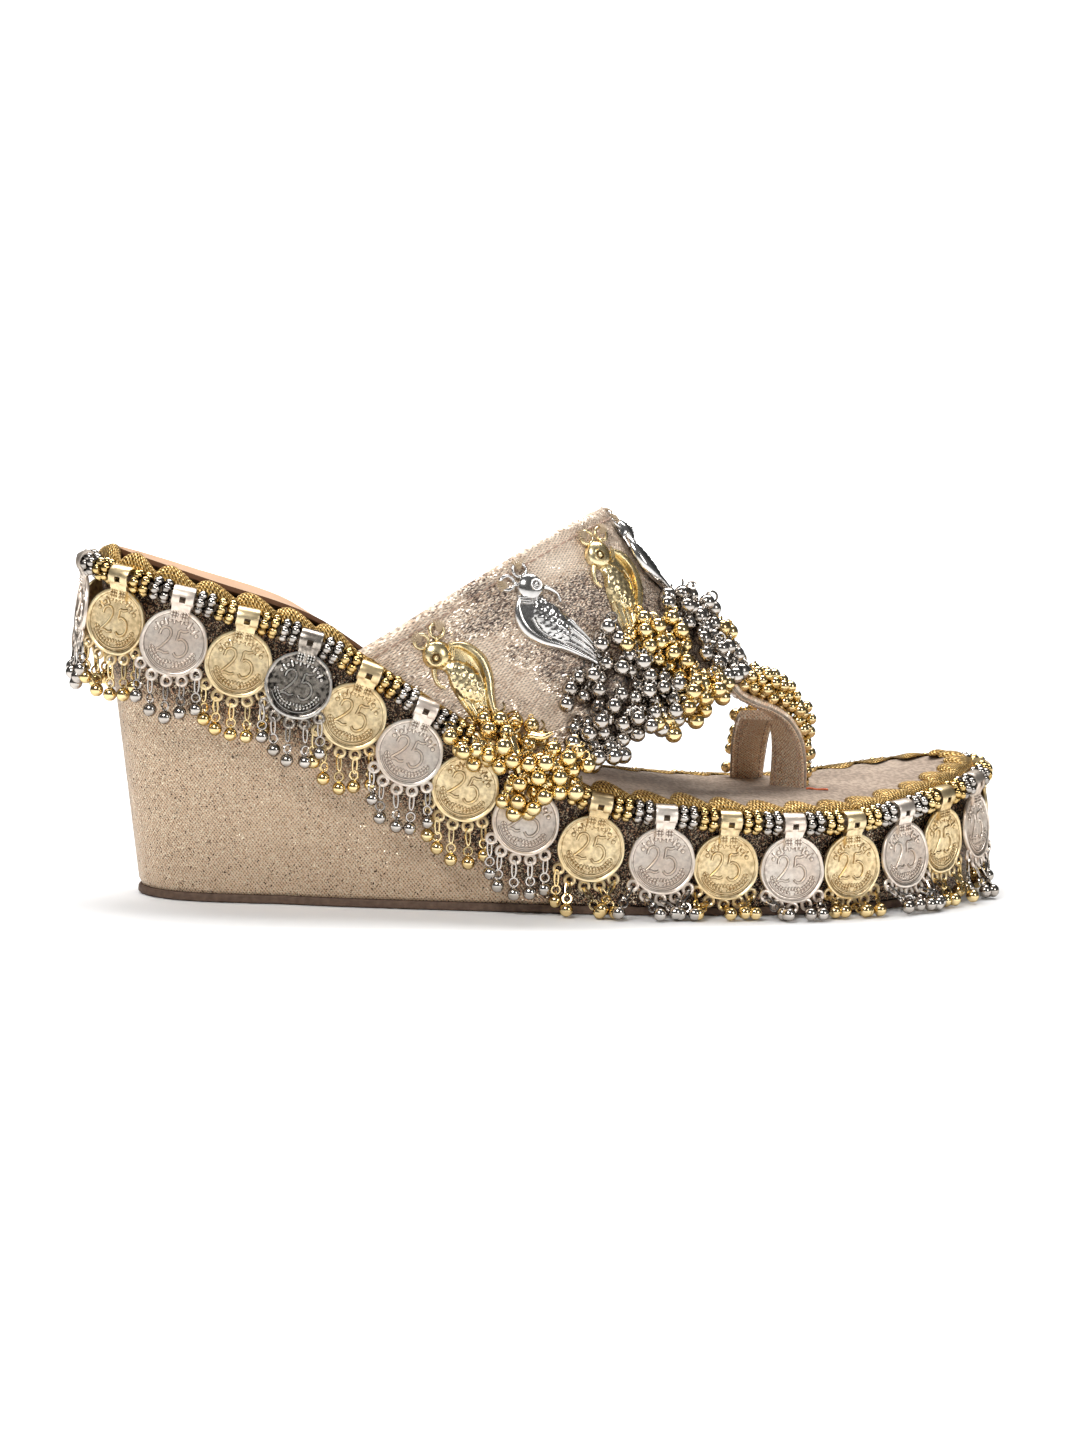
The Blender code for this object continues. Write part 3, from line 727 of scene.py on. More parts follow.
def makeHeelPad():
    front = heelPad["front"]
    xs = stationXs(heelPad["endSteps"], heelPad["middleSteps"])
    xs = np.append(xs[xs < front - 1], front)
    n, columns = len(xs), heelPad["across"]
    ahead = front + np.array([2.0, 4.0])  # keeps the front corners square to the sides
    loop = rimLoop(np.append(xs, ahead), heelPad["inset"])
    top, low = [], []
    for left, right in zip(loop[:n], loop[-n:][::-1]):
        middle, half = (left + right) / 2, (right - left) / 2
        end = min(1, max(0, (front - middle[0]) / heelPad["fade"]))
        for v in np.linspace(-1, 1, columns):
            x, y = middle + half * v
            x += heelPad["bow"] * (1 - v * v) * (1 - end)  # the front edge bows towards the toe
            rise = heelPad["edge"] + heelPad["dome"] * math.sin(math.pi / 2 * end) * (1 - v * v)
            curl = heelPad["curl"] * abs(v) ** 3 * (0.35 + 0.65 * end) + heelPad["clear"]
            ground = footbedHeight(x) + curl
            top.append((x, y, ground + rise))
            low.append((x, y, ground))
    shape = Shape()
    shape.add(top, gridFaces(n, columns))
    # the underside and the wall carry the painted shadow of the gap under the pad's edge
    shape.add(low, gridFaces(n, columns, flip=True), relief=1.0)
    addWall(shape, top, low, n, columns, 1.0)
    cushion = makePiece("heelCushion", shape, finishes["leather"], stands=["heel_pad"])


edging = {"pitch": 10.8, "reach": 8.2, "heelReach": 4.6, "overlap": 1.1, "columns": 17, "rows": 15,
          "at": [-126, -60, 10, 80, 110, 133], "nearLift": [3.3, 3.2, 2.4, 1.7, 1.7, 2.0],
          "farLift": [2.6, 2.4, 0.7, 0.6, 1.3, 2.0], "bareFrom": -54.0, "bareTo": 13.0,
          "bare": (0.35, 0.3), "grow": (0.88, 1.1), "puff": (0.85, 1.15), "outside": 0.5, "edgeDrop": 2.4,
          "lean": 0.7, "seed": 5}


def makeEdging():
    # a metal-thread ribbon whipped over the footbed's edge: a puffed leaf for each turn
    loop = rimLoop(stationXs(40, 160, 2), last["rimInset"])
    lengths = loopLengths(loop)
    closed = np.concatenate([loop, loop[:1]])
    total = lengths[-1]
    count = round(total / edging["pitch"])
    shape = Shape()
    random.seed(edging["seed"])

    def at(s):
        return np.array([np.interp(s % total, lengths, closed[:, k]) for k in (0, 1)])

    for i in range(count):
        start = i * total / count
        x, y = at(start + edging["pitch"] / 2)
        grow = random.uniform(*edging["grow"])
        puff = random.uniform(*edging["puff"])
        if edging["bareFrom"] < x < edging["bareTo"]:
            grow, puff = edging["bare"]  # flat and narrow where the upper stands
        full = edging["heelReach"] if x < edging["bareFrom"] else edging["reach"]
        lift = np.interp(x, edging["at"], edging["nearLift" if y < float(centreLine(x)) else "farLift"])
        points, cloth = [], []
        for a in np.linspace(0, 1, edging["columns"]):
            s = start + a * edging["pitch"] * edging["overlap"]
            here = at(s)
            tangent = unit(at(s + 0.5) - at(s - 0.5))
            inward = np.array([-tangent[1], tangent[0]])
            leaf = max(0.0, math.sin(math.pi * min(1, a ** 0.7 * 1.02))) ** 1.1
            reach = full * grow * leaf
            for b in np.linspace(0, 1, edging["rows"]):
                turn = b * math.pi  # from the outer side, over the top, down onto the footbed
                inset = (reach + edging["outside"]) * (1 - math.cos(turn)) / 2 - edging["outside"]
                height = lift * puff * (0.15 + 0.85 * leaf) * math.sin(turn) ** 0.8
                height += -edging["edgeDrop"] * (1 - b) ** 3 + 0.05 + edging["lean"] * a * (1 - b)
                points.append((*(here + inward * inset), footbedHeight(here[0]) + height))
                cloth.append((s * 1.2 + b * 2, b * 8))
        shape.add(points, gridFaces(edging["columns"], edging["rows"], flip=True), cloth=cloth)
    makePiece("zariEdging", shape, finishes["zari"])


# upper

upperLook = {"alongSteps": 44, "angleSteps": 96, "edgeWall": 1.7, "arch": 78.0, "frontReach": 70,
             "roundReach": 34.0, "stitchIn": 3.3, "stitchPitch": 2.7, "stitchLong": 2.0,
             "stitchRadius": 0.26, "groove": 0.28, "liningFaces": [-0.35, 0.45],
             "liningBack": -0.024, "liningRows": 30, "backRoll": 1.5, "frontRoll": 0.5, "grooveWide": 0.7,
             "puff": 0.12, "stitchRise": 0.12, "shadeAlong": 0.12, "shadeDegrees": 9.0, "shadeSoft": 0.12}
seam = {"in": 1.5, "pitch": 2.2, "long": 1.5, "radius": 0.2, "rise": 0.05, "edgeRadius": 0.42,
        "edgeOut": 0.02, "edgeLow": 0.25}
vampShade = [  # along, degrees, and the painted reflection level there: high values paint a dark reflection, values below nought a highlight
    (0.10, 44, -0.35), (0.06, 50, -0.1), (0.10, 56, 0.2), (0.25, 45, 0.9), (0.33, 43, 0.95), (0.42, 45, 0.8),
    (0.45, 31, 0.7), (0.00, 34, 0.3), (0.01, 41, 0.0), (0.02, 25, 0.7), (0.10, 25, 0.6), (0.00, 18, 0.25),
    (0.00, 12, 0.15), (0.00, 6, 0.1), (0.12, 4, 0.2), (0.19, 19, 0.75), (0.38, 19, 0.65), (0.54, 20, 0.75),
    (0.27, 15, -0.2), (0.53, 15, -0.25), (0.69, 13, -0.15), (0.39, 14, -0.25), (0.69, 23, 0.85),
    (0.20, 57, 0.4), (0.18, 72, 0.3), (0.54, 55, 0.8), (0.56, 10, 0.35), (0.42, 9, 0.4),
    (0.29, 5, 0.3), (0.80, 8, 0.6), (0.10, 88, 0.2), (0.40, 88, 0.7), (0.90, 60, 0.8), (0.95, 20, 0.7)]
upperAngles = np.linspace(0, math.pi, upperLook["angleSteps"] + 1)


def shadeAt(along, angles):
    # nearest spots weigh most; the two sides are alike
    degrees = np.degrees(angles)
    degrees = np.minimum(degrees, 180 - degrees)
    total, weight = np.zeros(len(angles)), np.zeros(len(angles))
    for spotAlong, spotDegrees, value in vampShade:
        farAlong = (along - spotAlong) / upperLook["shadeAlong"]
        farRound = (degrees - spotDegrees) / upperLook["shadeDegrees"]
        w = 1 / (farAlong ** 2 + farRound ** 2 + upperLook["shadeSoft"]) ** 2
        total += w * value
        weight += w
    return total / weight


def wallAt(share):
    # the vamp's wall thins towards its edges
    return upperLook["edgeWall"] + (vamp["wall"] - upperLook["edgeWall"]) * min(1, share)


def makeVamp():
    angles = upperAngles
    outer, inner, cloth, shades = [], [], [], []
    for a in np.linspace(0, 1, upperLook["alongSteps"] + 1):
        points = vampPoint(a, angles)
        normals = vampNormal(a, angles)
        fromBack = a * upperLook["arch"]
        edge = min(fromBack, (1 - a) * upperLook["frontReach"])
        fromSeam = (fromBack - upperLook["stitchIn"]) / upperLook["grooveWide"]
        groove = upperLook["groove"] * math.exp(-fromSeam ** 2)
        puff = upperLook["puff"] * math.sin(min(1, edge / 3) * math.pi)
        outer.append(points - normals * (groove - puff))
        inner.append(points - normals * wallAt(edge / 5))
        cloth.append(np.stack([angles * upperLook["roundReach"], np.full(len(angles), fromBack)], 1))
        # painted reflection level at each point of this hoop
        shades.append(shadeAt(a, angles))

    def rolled(first, second, at, inside, high, clothRow, way):
        # three rows round an edge, from one face to the other
        push = unit(vampPoint(at, angles) - vampPoint(inside, angles))
        steps = (0.25, 0.5, 0.75)
        return ([first * (1 - t) + second * t + push * (math.sin(math.pi * t) * high) for t in steps],
                [clothRow + [0, way * t] for t in steps])

    front, frontCloth = rolled(outer[-1], inner[-1], 1.0, 0.97, upperLook["frontRoll"], cloth[-1], 1)
    back, backCloth = rolled(inner[0], outer[0], 0.0, 0.03, upperLook["backRoll"], cloth[0], -1)
    rings = outer + front + inner[::-1] + back
    cloth = cloth + frontCloth + cloth[::-1] + backCloth
    relief = shades + [shades[-1]] * 3 + shades[::-1] + [shades[0]] * 3
    shape = Shape()
    faces = archFaces(len(rings), len(angles))
    shape.add(np.concatenate(rings), faces, np.concatenate(relief), np.concatenate(cloth))
    makePiece("vampShell", shape, finishes["vampLame"], stands=["upper"])


def addBand(shape, leg, puff=0.35):
    centres, across, normal = legFrames(leg)
    half, steps = leg["width"] / 2, leg["steps"]
    section = [(-1, -0.35), (-0.93, -0.5), (-0.5, -0.5), (0, -0.5), (0.5, -0.5), (0.93, -0.5), (1, -0.35),
               (1, 0.35), (0.93, 0.5), (0.5, 0.5 + puff * 0.4), (0, 0.5 + puff * 0.5),
               (-0.5, 0.5 + puff * 0.4), (-0.93, 0.5), (-1, 0.35)]
    n = len(section)
    rings, cloth = [], []
    for centre, side, out, length in zip(centres, across, normal, lengthsAlong(centres)):
        rings += [centre + side * a * half + out * b * strapThick for a, b in section]
        cloth += [(a * half, length) for a, b in section]
    shape.add(rings, gridFaces(steps, n, wrapColumns=True, flip=True), cloth=cloth)
    endCloth = [(a * half, b * strapThick) for a, b in section]
    for first, face in ((0, range(n)), ((steps - 1) * n, range(n)[::-1])):
        shape.add(rings[first:first + n], [tuple(face)], cloth=endCloth)


def addStitches(shape, line, pitch, long, radius):
    lengths = lengthsAlong(line)
    for s in np.arange(pitch, lengths[-1] - pitch, pitch):
        spots = s + np.array([-0.5, -0.25, 0, 0.25, 0.5]) * long
        path = np.stack([np.interp(spots, lengths, line[:, k]) for k in range(3)], 1)
        shape.add(*tubeShape(path, radius * np.array([0.4, 1, 1.05, 1, 0.4])))


def makeStraps():
    straps, seams, edges = Shape(), Shape(), Shape()
    for leg in (nearLeg, farLeg):
        addBand(straps, leg)
        centres, across, normal = legFrames(leg)
        half = leg["width"] / 2
        for side in (-1, 1):
            for face in (-1, 1):
                line = centres + across * side * (half - seam["in"])
                line = line + normal * face * (strapThick / 2 + seam["rise"])
                addStitches(seams, line, seam["pitch"], seam["long"], seam["radius"])
            line = centres + across * side * (half + seam["edgeOut"]) - normal * seam["edgeLow"]
            edges.add(*tubeShape(line, seam["edgeRadius"]))
    makePiece("toeLoopStraps", straps, finishes["strapLame"])
    makePiece("strapStitches", seams, finishes["roseThread"])
    makePiece("strapLining", edges, finishes["lining"])


def makeVampStitches():
    along = upperLook["stitchIn"] / upperLook["arch"]
    angles = np.linspace(0.02, math.pi - 0.02, 400)
    line = vampPoint(along, angles) + vampNormal(along, angles) * upperLook["stitchRise"]
    shape = Shape()
    addStitches(shape, line, upperLook["stitchPitch"], upperLook["stitchLong"], upperLook["stitchRadius"])
    makePiece("vampStitches", shape, finishes["roseThread"])


def makeLining():
    # suede sheet inside the vamp, standing a little proud of its back edge
    sheets = []
    for face in upperLook["liningFaces"]:
        rows = []
        for a in [upperLook["liningBack"], *np.linspace(0.012, 0.995, upperLook["liningRows"])]:
            base = vampPoint(max(a, 0), upperAngles)
            if a < 0:
                base = base + (vampPoint(0.02, upperAngles) - base) / 0.02 * a
            depth = wallAt(max(0, a) * 16) + face
            rows.append(base - vampNormal(max(a, 0.01), upperAngles) * depth)
        sheets.append(rows)
    rings = sheets[0] + sheets[1][::-1]
    shape = Shape()
    shape.add(np.concatenate(rings), archFaces(len(rings), len(upperAngles)))
    makePiece("vampLining", shape, finishes["lining"])


mark = {"x": 79.4, "long": 5.0, "aside": -4.0, "radius": 0.24, "strands": (-0.35, 0.0, 0.35),
        "bend": 0.5, "rise": 0.25, "ripple": 0.12}


def makeMark():
    # short loose thread on the footbed beside the strap
    shape = Shape()
    for side in mark["strands"]:
        path = []
        for t in np.linspace(0, 1, 10):
            x = mark["x"] + mark["long"] * t
            y = mark["aside"] * t + mark["bend"] * math.sin(5 * t) + side
            path.append((x, y, float(footbedHeight(x)) + mark["rise"] + mark["ripple"] * math.sin(9 * t)))
        shape.add(*tubeShape(path, mark["radius"]))
    makePiece("threadMark", shape, finishes["orangeThread"])


makeMark()
makeWedge()
makeOutsole()
makeInsole()
makeHeelPad()
makeEdging()
print("sole ready")
makeVamp()
makeStraps()
makeVampStitches()
makeLining()
print("upper ready")


# coins, their bells and the string

coin = {
    "radius": 9.25, "drop": 12.6, "hangShare": 0.62, "around": 56, "face": 0.38, "dark": 4,
    "goldSwing": (0.0, 0.6), "silverSwing": (5.6, 6.4),  # degrees that a coin stands out from its cord
    "bailRadius": 3.0, "bailWidth": 6.0, "bailWall": 0.5, "numeralTall": 1.22, "numeralWide": 0.28,
    "eyelets": [-47, -23, 1, 24, 47], "eyeletMajor": 1.32, "eyeletMinor": 0.52,
    "innerRing": 7.35, "groove": 8.1, "marks": 6.25, "dirtWide": 0.18,
}
numeralTwo = [(-4.2, -1.3), (-3.9, -2.5), (-2.9, -3.1), (-1.8, -2.9), (-1.2, -1.9), (-1.6, -0.6),
              (-2.8, 0.9), (-4.3, 2.5), (-3.2, 2.3), (-1.9, 2.6), (-0.8, 2.2)]
numeralFive = [(3.3, -3.2), (2.1, -2.8), (1.0, -2.9), (0.8, -1.6), (0.6, -0.6), (1.6, -1.1), (2.8, -0.8),
               (3.7, 0.3), (3.6, 1.7), (2.6, 2.7), (1.3, 2.9), (0.4, 2.2)]
dirtLine = -1.2  # the relief of a groove that holds dirt


def makeCoinBlank():
    # one coin in its own plane: across, down from the cord, outward
    shape = Shape()
    drop, radius, face = coin["drop"], coin["radius"], coin["face"]
    profile = [(0.01, -0.45, 0.2), (radius - 0.3, -0.45, 0.4), (radius, -0.25, 0.9), (radius, 0.35, 1),
               (radius - 0.15, 0.62, 1), (radius - 0.6, 0.66, 1), (radius - 0.85, 0.42, 0.1),
               (radius - 1.3, 0.32, 0.0), (radius * 0.6, 0.34, 0.25), (0.01, 0.38, 0.3)]
    a = roundTurns(coin["around"])
    wobble = 1 + 0.008 * np.sin(3 * a + 1) + 0.006 * np.sin(7 * a)
    rings = [np.stack([r * wobble * np.cos(a), drop + r * wobble * np.sin(a), 0 * a + out], 1)
             for r, out, high in profile]
    relief = np.repeat([high for r, out, high in profile], len(a))
    shape.add(np.concatenate(rings), gridFaces(len(profile), len(a), wrapColumns=True, flip=True), relief)
    ball, ballFaces = ballShape(1.0, 6, 4)

    def stroke(path, width, height=0.42, steps=22):
        # a raised line with dirt along its foot
        line = curveThrough([(-a, b + drop, face) for a, b in path], steps)
        tapered = np.full(steps, width)
        tapered[[0, -1]] = width * 0.5
        layers = ((width + coin["dirtWide"], 0.14, dirtLine), (tapered, height / width, 1.0))
        for thick, high, relief in layers:
            points, faces = tubeShape(line, thick)
            points[:, 2] = face + (points[:, 2] - face) * high
            shape.add(points, faces, relief)

    def bead(a, b, wide, long, turn, high=0.3):
        # a raised bead with dirt round it
        c, s = math.cos(turn), math.sin(turn)
        turned = ball * [wide, long, high] @ np.array([(c, s, 0), (-s, c, 0), (0, 0, 1)])
        outline = turned * [1 + 0.17 / wide, 1 + 0.17 / long, 0.25]
        for points, relief in ((turned, 0.9), (outline, dirtLine)):
            shape.add(points + [a, drop + b, face - 0.04], ballFaces, relief)

    for numeral in (numeralTwo, numeralFive):
        stroke([(a, b * coin["numeralTall"]) for a, b in numeral], coin["numeralWide"])
    arc = coin["innerRing"] * np.exp(1j * np.radians(np.linspace(25, 155, 30)))
    stroke(np.stack([arc.real, arc.imag], 1), 0.16, 0.22, 40)
    groove, grooveFaces = ringShape(coin["groove"], 0.15, 48, 5)
    shape.add(groove * [1, 1, 0.5] + [0, drop, 0.32], grooveFaces, dirtLine)
    for k, a in enumerate(np.radians(np.linspace(-152, -28, 13))):  # row of marks over the numeral
        wide, long = ((0.55, 0.55), (0.34, 1.15))[k % 2]
        bead(coin["marks"] * math.cos(a), coin["marks"] * math.sin(a), wide, long, a + math.pi / 2, 0.42)
    for side in (-1, 1):  # sprays of small leaves up both sides
        for a in np.radians(np.linspace(100, 160, 8)):
            for r, lean in ((6.5, 0.5), (5.75, -0.5)):
                bead(side * r * math.cos(a), r * math.sin(a), 0.22, 0.5, side * (a + lean))
    for k in range(5):
        bead(-1.8 + 0.9 * k, 5.2, 0.26, 0.5, 0)
    addBail(shape)
    r = radius + coin["eyeletMajor"] - 0.15
    for a in np.radians(90 + np.array(coin["eyelets"])):
        hoop = ringShape(coin["eyeletMajor"], coin["eyeletMinor"], 14, 7)
        shape.place(hoop, (r * math.cos(a), drop + r * math.sin(a), 0.05), relief=0.35)
    return shape


def addBail(shape):
    # folded strip round the cord, with a square hole in front, then a neck with two granulated squares
    radius, half, wall = coin["bailRadius"], coin["bailWidth"] / 2, coin["bailWall"]
    strips = [-half, -half + 0.35, -0.85, 0.85, half - 0.35, half]
    rows, columns = 24, len(strips)
    outer, inner = [], []
    for t in roundTurns(rows):
        for s in strips:
            edge = 0.12 if abs(s) == half else 0.0
            outer.append((s, -(radius - edge) * math.sin(t), (radius - edge) * math.cos(t)))
            inner.append((s, -(radius - wall) * math.sin(t), (radius - wall) * math.cos(t)))
    hole = {(row, 2) for row in (21, 22, 23)}  # the open cells, low on the front
    n = rows * columns
    faces = []

    def corners(i, k):
        j = (i + 1) % rows
        return i * columns + k, j * columns + k, j * columns + k + 1, i * columns + k + 1

    for i in range(rows):
        for k in range(columns - 1):
            if (i, k) not in hole:
                a, b, c, d = corners(i, k)
                faces += [(a, d, c, b), (n + a, n + b, n + c, n + d)]
    for i in range(rows):
        a, b, *_ = corners(i, 0)
        *_, c, d = corners(i, columns - 2)
        faces += [(a, b, n + b, n + a), (d, n + d, n + c, c)]
    for i, k in hole:
        a, b, c, d = corners(i, k)
        faces += [(a, b, n + b, n + a), (d, n + d, n + c, c)]
        if (i - 1, k) not in hole:
            faces.append((a, n + a, n + d, d))
        if (i + 1, k) not in hole:
            faces.append((b, c, n + c, n + b))
    shape.add(outer + inner, faces, relief=0.6)
    neck = [(1.6, 0.2, 0.15, 2.3), (2.6, 0.2, 0.15, 1.9), (3.6, 0.3, 0.15, 1.3), (6.4, 0.35, 0.05, 1.05)]
    plate = [(s * (half - narrow), down, out if abs(s) < 1 else back)
             for down, narrow, back, out in neck for s in (-1, -0.94, 0.94, 1)]
    shape.add(plate, gridFaces(4, 4) + [(0, 1, 2, 3), (15, 14, 13, 12)], relief=0.35)
    ball, ballFaces = ballShape(1.0, 6, 4)
    for side in (-1, 1):
        square = np.array([side * 1.36, 4.95, 1.2])
        shape.add(ball * [1.22, 1.22, 0.12] + square, ballFaces, dirtLine)
        for i in (-1, 0, 1):
            for k in (-1, 0, 1):
                shape.add(ball * 0.36 + square + [i * 0.78, k * 0.78, 0], ballFaces, relief=0.9)


def aboveFloor(points):
    return points + upward * max(0.0, 0.1 - points[:, 2].min())


bells = {"bellRadius": 1.85, "chain": 8.6, "room": 6.0, "linkLong": 4.4, "linkHalf": 0.62, "linkWire": 0.3,
         "jumpRing": 1.2, "jumpWire": 0.32, "eye": (0.55, 0.2, 8, 5)}


def addBellChain(shape, start, outward, across, seed):
    # wire link, jump ring and ball bell; it hangs straight, or lies on the floor where there is no room
    rng = random.Random(seed)
    radius = bells["bellRadius"]
    length = bells["chain"] * rng.uniform(0.92, 1.14)
    fall = min(length, max(0.4, start[2] - radius - 0.15))
    spread = math.sqrt(max(0, length ** 2 - fall ** 2))
    lying = spread > 0.5
    if lying:
        way = unit(outward * rng.uniform(0.5, 1.0) + across * rng.uniform(-0.9, 0.9))
        end = start + way * min(spread, bells["room"]) - upward * fall
    else:
        end = start - upward * fall + across * rng.uniform(-0.5, 0.5) + outward * rng.uniform(-0.2, 0.6)
    toward = unit(end - start)
    linkEnd = start * 0.45 + end * 0.55 + upward * 0.6 if lying else start + toward * bells["linkLong"]
    sideways = unit(np.cross(toward, across * rng.uniform(-0.6, 0.6) + outward))
    reach = np.linalg.norm(linkEnd - start) / 2 + 0.4
    turns = np.linspace(0, 2 * math.pi, 18)[:-1, None]
    long = reach * np.cos(turns) * (1 - 0.12 * np.cos(turns) ** 2)  # narrower towards its ends
    loop = (start + linkEnd) / 2 + unit(linkEnd - start) * long
    loop = loop + sideways * bells["linkHalf"] * np.sin(turns)
    wire, wireFaces = tubeShape(loop, bells["linkWire"], 5, closed=True)
    shape.add(aboveFloor(wire), wireFaces, relief=0.9)
    ringAt = end - toward * (radius + bells["jumpRing"] + 0.1)
    ringAt[2] = max(ringAt[2], bells["jumpRing"] + 0.3)
    second = unit(np.cross(toward, outward + across * rng.uniform(-1, 1)))
    third = np.cross(toward, second)
    parts = [(ringShape(bells["jumpRing"], bells["jumpWire"]), (toward, second, third), ringAt, 0.9),
             (ringShape(*bells["eye"]), (toward, third, -second), end - toward * (radius + 0.25), 0.9),
             (ballShape(radius, 14, 10), (second, third, toward), end, 1.0)]
    for (points, faces), axes, at, relief in parts:
        shape.add(aboveFloor(points @ np.array(axes) + at), faces, relief)


def turnAbout(v, axis, angle):
    around = axis * np.dot(axis, v) * (1 - math.cos(angle))
    return v * math.cos(angle) + np.cross(axis, v) * math.sin(angle) + around


def makeCoins():
    blank = makeCoinBlank()
    r = coin["radius"] + coin["eyeletMajor"] + 0.5
    for i, joint in enumerate(frame["joints"]):
        node, origin, axis = joint["child"], np.array(joint["pos_m"]) / mm, unit(joint["axis"])
        outward = unit([-axis[1], axis[0], 0])
        hang = (1 - coin["hangShare"]) * math.asin(-axis[2])
        down = axis * math.sin(hang) - np.cross(axis, outward) * math.cos(hang)
        across = np.cross(down, outward)
        random.seed(100 + i)
        gold = i % 2 == 1
        swing = math.radians(random.uniform(*coin["goldSwing" if gold else "silverSwing"]))
        downNow, outNow = turnAbout(down, axis, swing), turnAbout(outward, axis, swing)
        acrossNow = np.cross(downNow, outNow)
        shape, chains = Shape(), Shape()
        shape.merge(blank, origin, (acrossNow, downNow, outNow))
        for k, a in enumerate(np.radians(90 + np.array(coin["eyelets"]))):
            low = downNow * (coin["drop"] + r * math.sin(a))
            start = origin + acrossNow * r * math.cos(a) + low + outNow * 0.2
            addBellChain(chains, start, outward, across, 1000 * i + k)
        piece = makePlated("coin%02d" % (i + 1), shape, "Coin", gold, node, [node])
        if i == coin["dark"]:
            piece.data.materials[0] = finishes["darkCoin"]
        makePlated("coinBells%02d" % (i + 1), chains, "Bell", gold, node)


spacer = {"balls": 6, "ballRadius": 1.38, "ringRadius": 2.15, "places": [-4.25, -1.48, 1.48, 4.25],
          "pitch": 18.15, "core": (1.55, 0.75), "cordRadius": 1.0}


def makeString():
    hinges = np.array([joint["pos_m"] for joint in frame["joints"]]) / mm
    n = len(hinges)

    def at(t):
        # closed smooth path through the hinges
        i, f = math.floor(t) % n, t - math.floor(t)
        a, b, c, d = (hinges[(i + k) % n] for k in (-1, 0, 1, 2))
        bend, twist = 2 * a - 5 * b + 4 * c - d, 3 * b - a - 3 * c + d
        return 0.5 * (2 * b + (c - a) * f + bend * f * f + twist * f ** 3)

    cord = Shape()
    cord.add(*tubeShape([at(t) for t in np.arange(0, n, 1 / 8)], spacer["cordRadius"], 8, closed=True))
    makePiece("rimCord", cord, finishes["stringCord"], stands=["bead_string"])
    ball, ballFaces = ballShape(spacer["ballRadius"], 8, 6)
    core = ringShape(*spacer["core"])
    shapes = {True: Shape(), False: Shape()}
    for i in range(n):
        for k, offset in enumerate(spacer["places"]):
            shape = shapes[(i % 2 == 1) == (k < 2)]  # gold beside the gold coins
            t = i + 0.5 + offset / spacer["pitch"]
            centre = at(t)
            along = unit(at(t + 0.02) - at(t - 0.02))
            side = unit(np.cross(along, upward))
            top = np.cross(side, along)
            # the dark core ring and the darker inner sides of the balls are partly oxide and partly painted
            # shade in the gaps between the balls
            shape.place(core, centre, (side, top, along), dirtLine)
            for a in roundTurns(spacer["balls"]) + (k % 2) * math.pi / spacer["balls"]:
                outward = side * math.cos(a) + top * math.sin(a)
                relief = np.clip(ball @ outward + 0.1, -1, 0.9)
                shape.add(ball + centre + outward * spacer["ringRadius"], ballFaces, relief)
    for gold, name in ((True, "goldSpacers"), (False, "silverSpacers")):
        makePlated(name, shapes[gold], "Spacer", gold)


makeCoins()
makeString()
print("coins and string ready")


# bird charms: flat castings sewn on by two crest rings

bird = {
    "base": 0.8, "lift": 0.35, "follow": 34.0, "rows": 84, "columns": 34, "head": 3.9, "headDome": 0.55,
    "edge": 0.6, "wingAt": (10.8, -1.9), "wingHalf": (7.2, 3.9), "wingDome": 1.35,
    "scale": (1.6, 1.9), "scaleHigh": 0.34, "tailFrom": 14, "crestRings": [(-5.1, -4.2), (-5.4, 1.0)],
    "tuftTurns": [0.9, -0.6], "eye": (0.5, 1.0),
}
birdEdge = {  # outline of the plate, head first; the back runs along the low side
    "x":    [-3.7, -3.2, -2.0, 0.0, 2.0, 4.0, 6.0, 8.5, 12.5, 17.0, 20.6, 24.0, 27.6],
    "low":  [-0.6, -2.0, -3.5, -4.6, -6.4, -7.8, -8.6, -9.0, -7.8, -4.8, -3.0, -1.6, -0.9],
    "high": [0.7, 2.0, 3.2, 3.9, 3.3, 1.4, 1.0, 2.0, 2.7, 3.0, 3.1, 2.8, 1.6],
}
birdTubes = [  # path, radii, height and steps of what stands on the plate
    ([(0.4, -4.6), (1.6, -6.6), (4.2, -8.4), (8.0, -9.2), (12.9, -7.9), (17.8, -4.8), (22.3, -2.6),
      (27.6, -0.6)], (0.7, 1.25, 1.45, 1.4, 1.1, 0.85, 0.65), 1.15, 40),  # back
    ([(6.5, -5.6), (9.5, -6.3), (13.5, -5.4), (18.5, -2.4), (26.5, 0.2)], 0.32, 1.35, 30),  # rim inside it
    ([(2.6, 3.0), (4.6, 4.2), (6.6, 4.6), (8.8, 3.7)], (0.75, 0.62, 0.5, 0.28), 0.9, 18),  # beak
    *[([(-0.6 + aside, -4.9), (0.6 + aside, -4.0), (1.5 + aside, -2.9)], 0.3, 1.75, 8)
      for aside in (0, 0.95, 1.9)],  # collar
]
birdPlaces = [  # head along, head degrees, tail along, tail degrees, back towards the crown
    (0.18, 9, 0.50, 5, True), (0.14, 34, 0.61, 32, False), (0.17, 57, 0.50, 49, True),
    (0.13, 84, 0.52, 88, False), (0.17, 123, 0.50, 131, False), (0.14, 146, 0.61, 148, True),
    (0.18, 171, 0.50, 175, False),
]


def taperedTube(path, radii, steps, sides):
    # a smooth tube through a few points, with its radius from a few values along it
    radii = np.atleast_1d(radii)
    thick = np.interp(np.linspace(0, 1, steps), np.linspace(0, 1, len(radii)), radii)
    return tubeShape(curveThrough(path, steps), thick, sides)


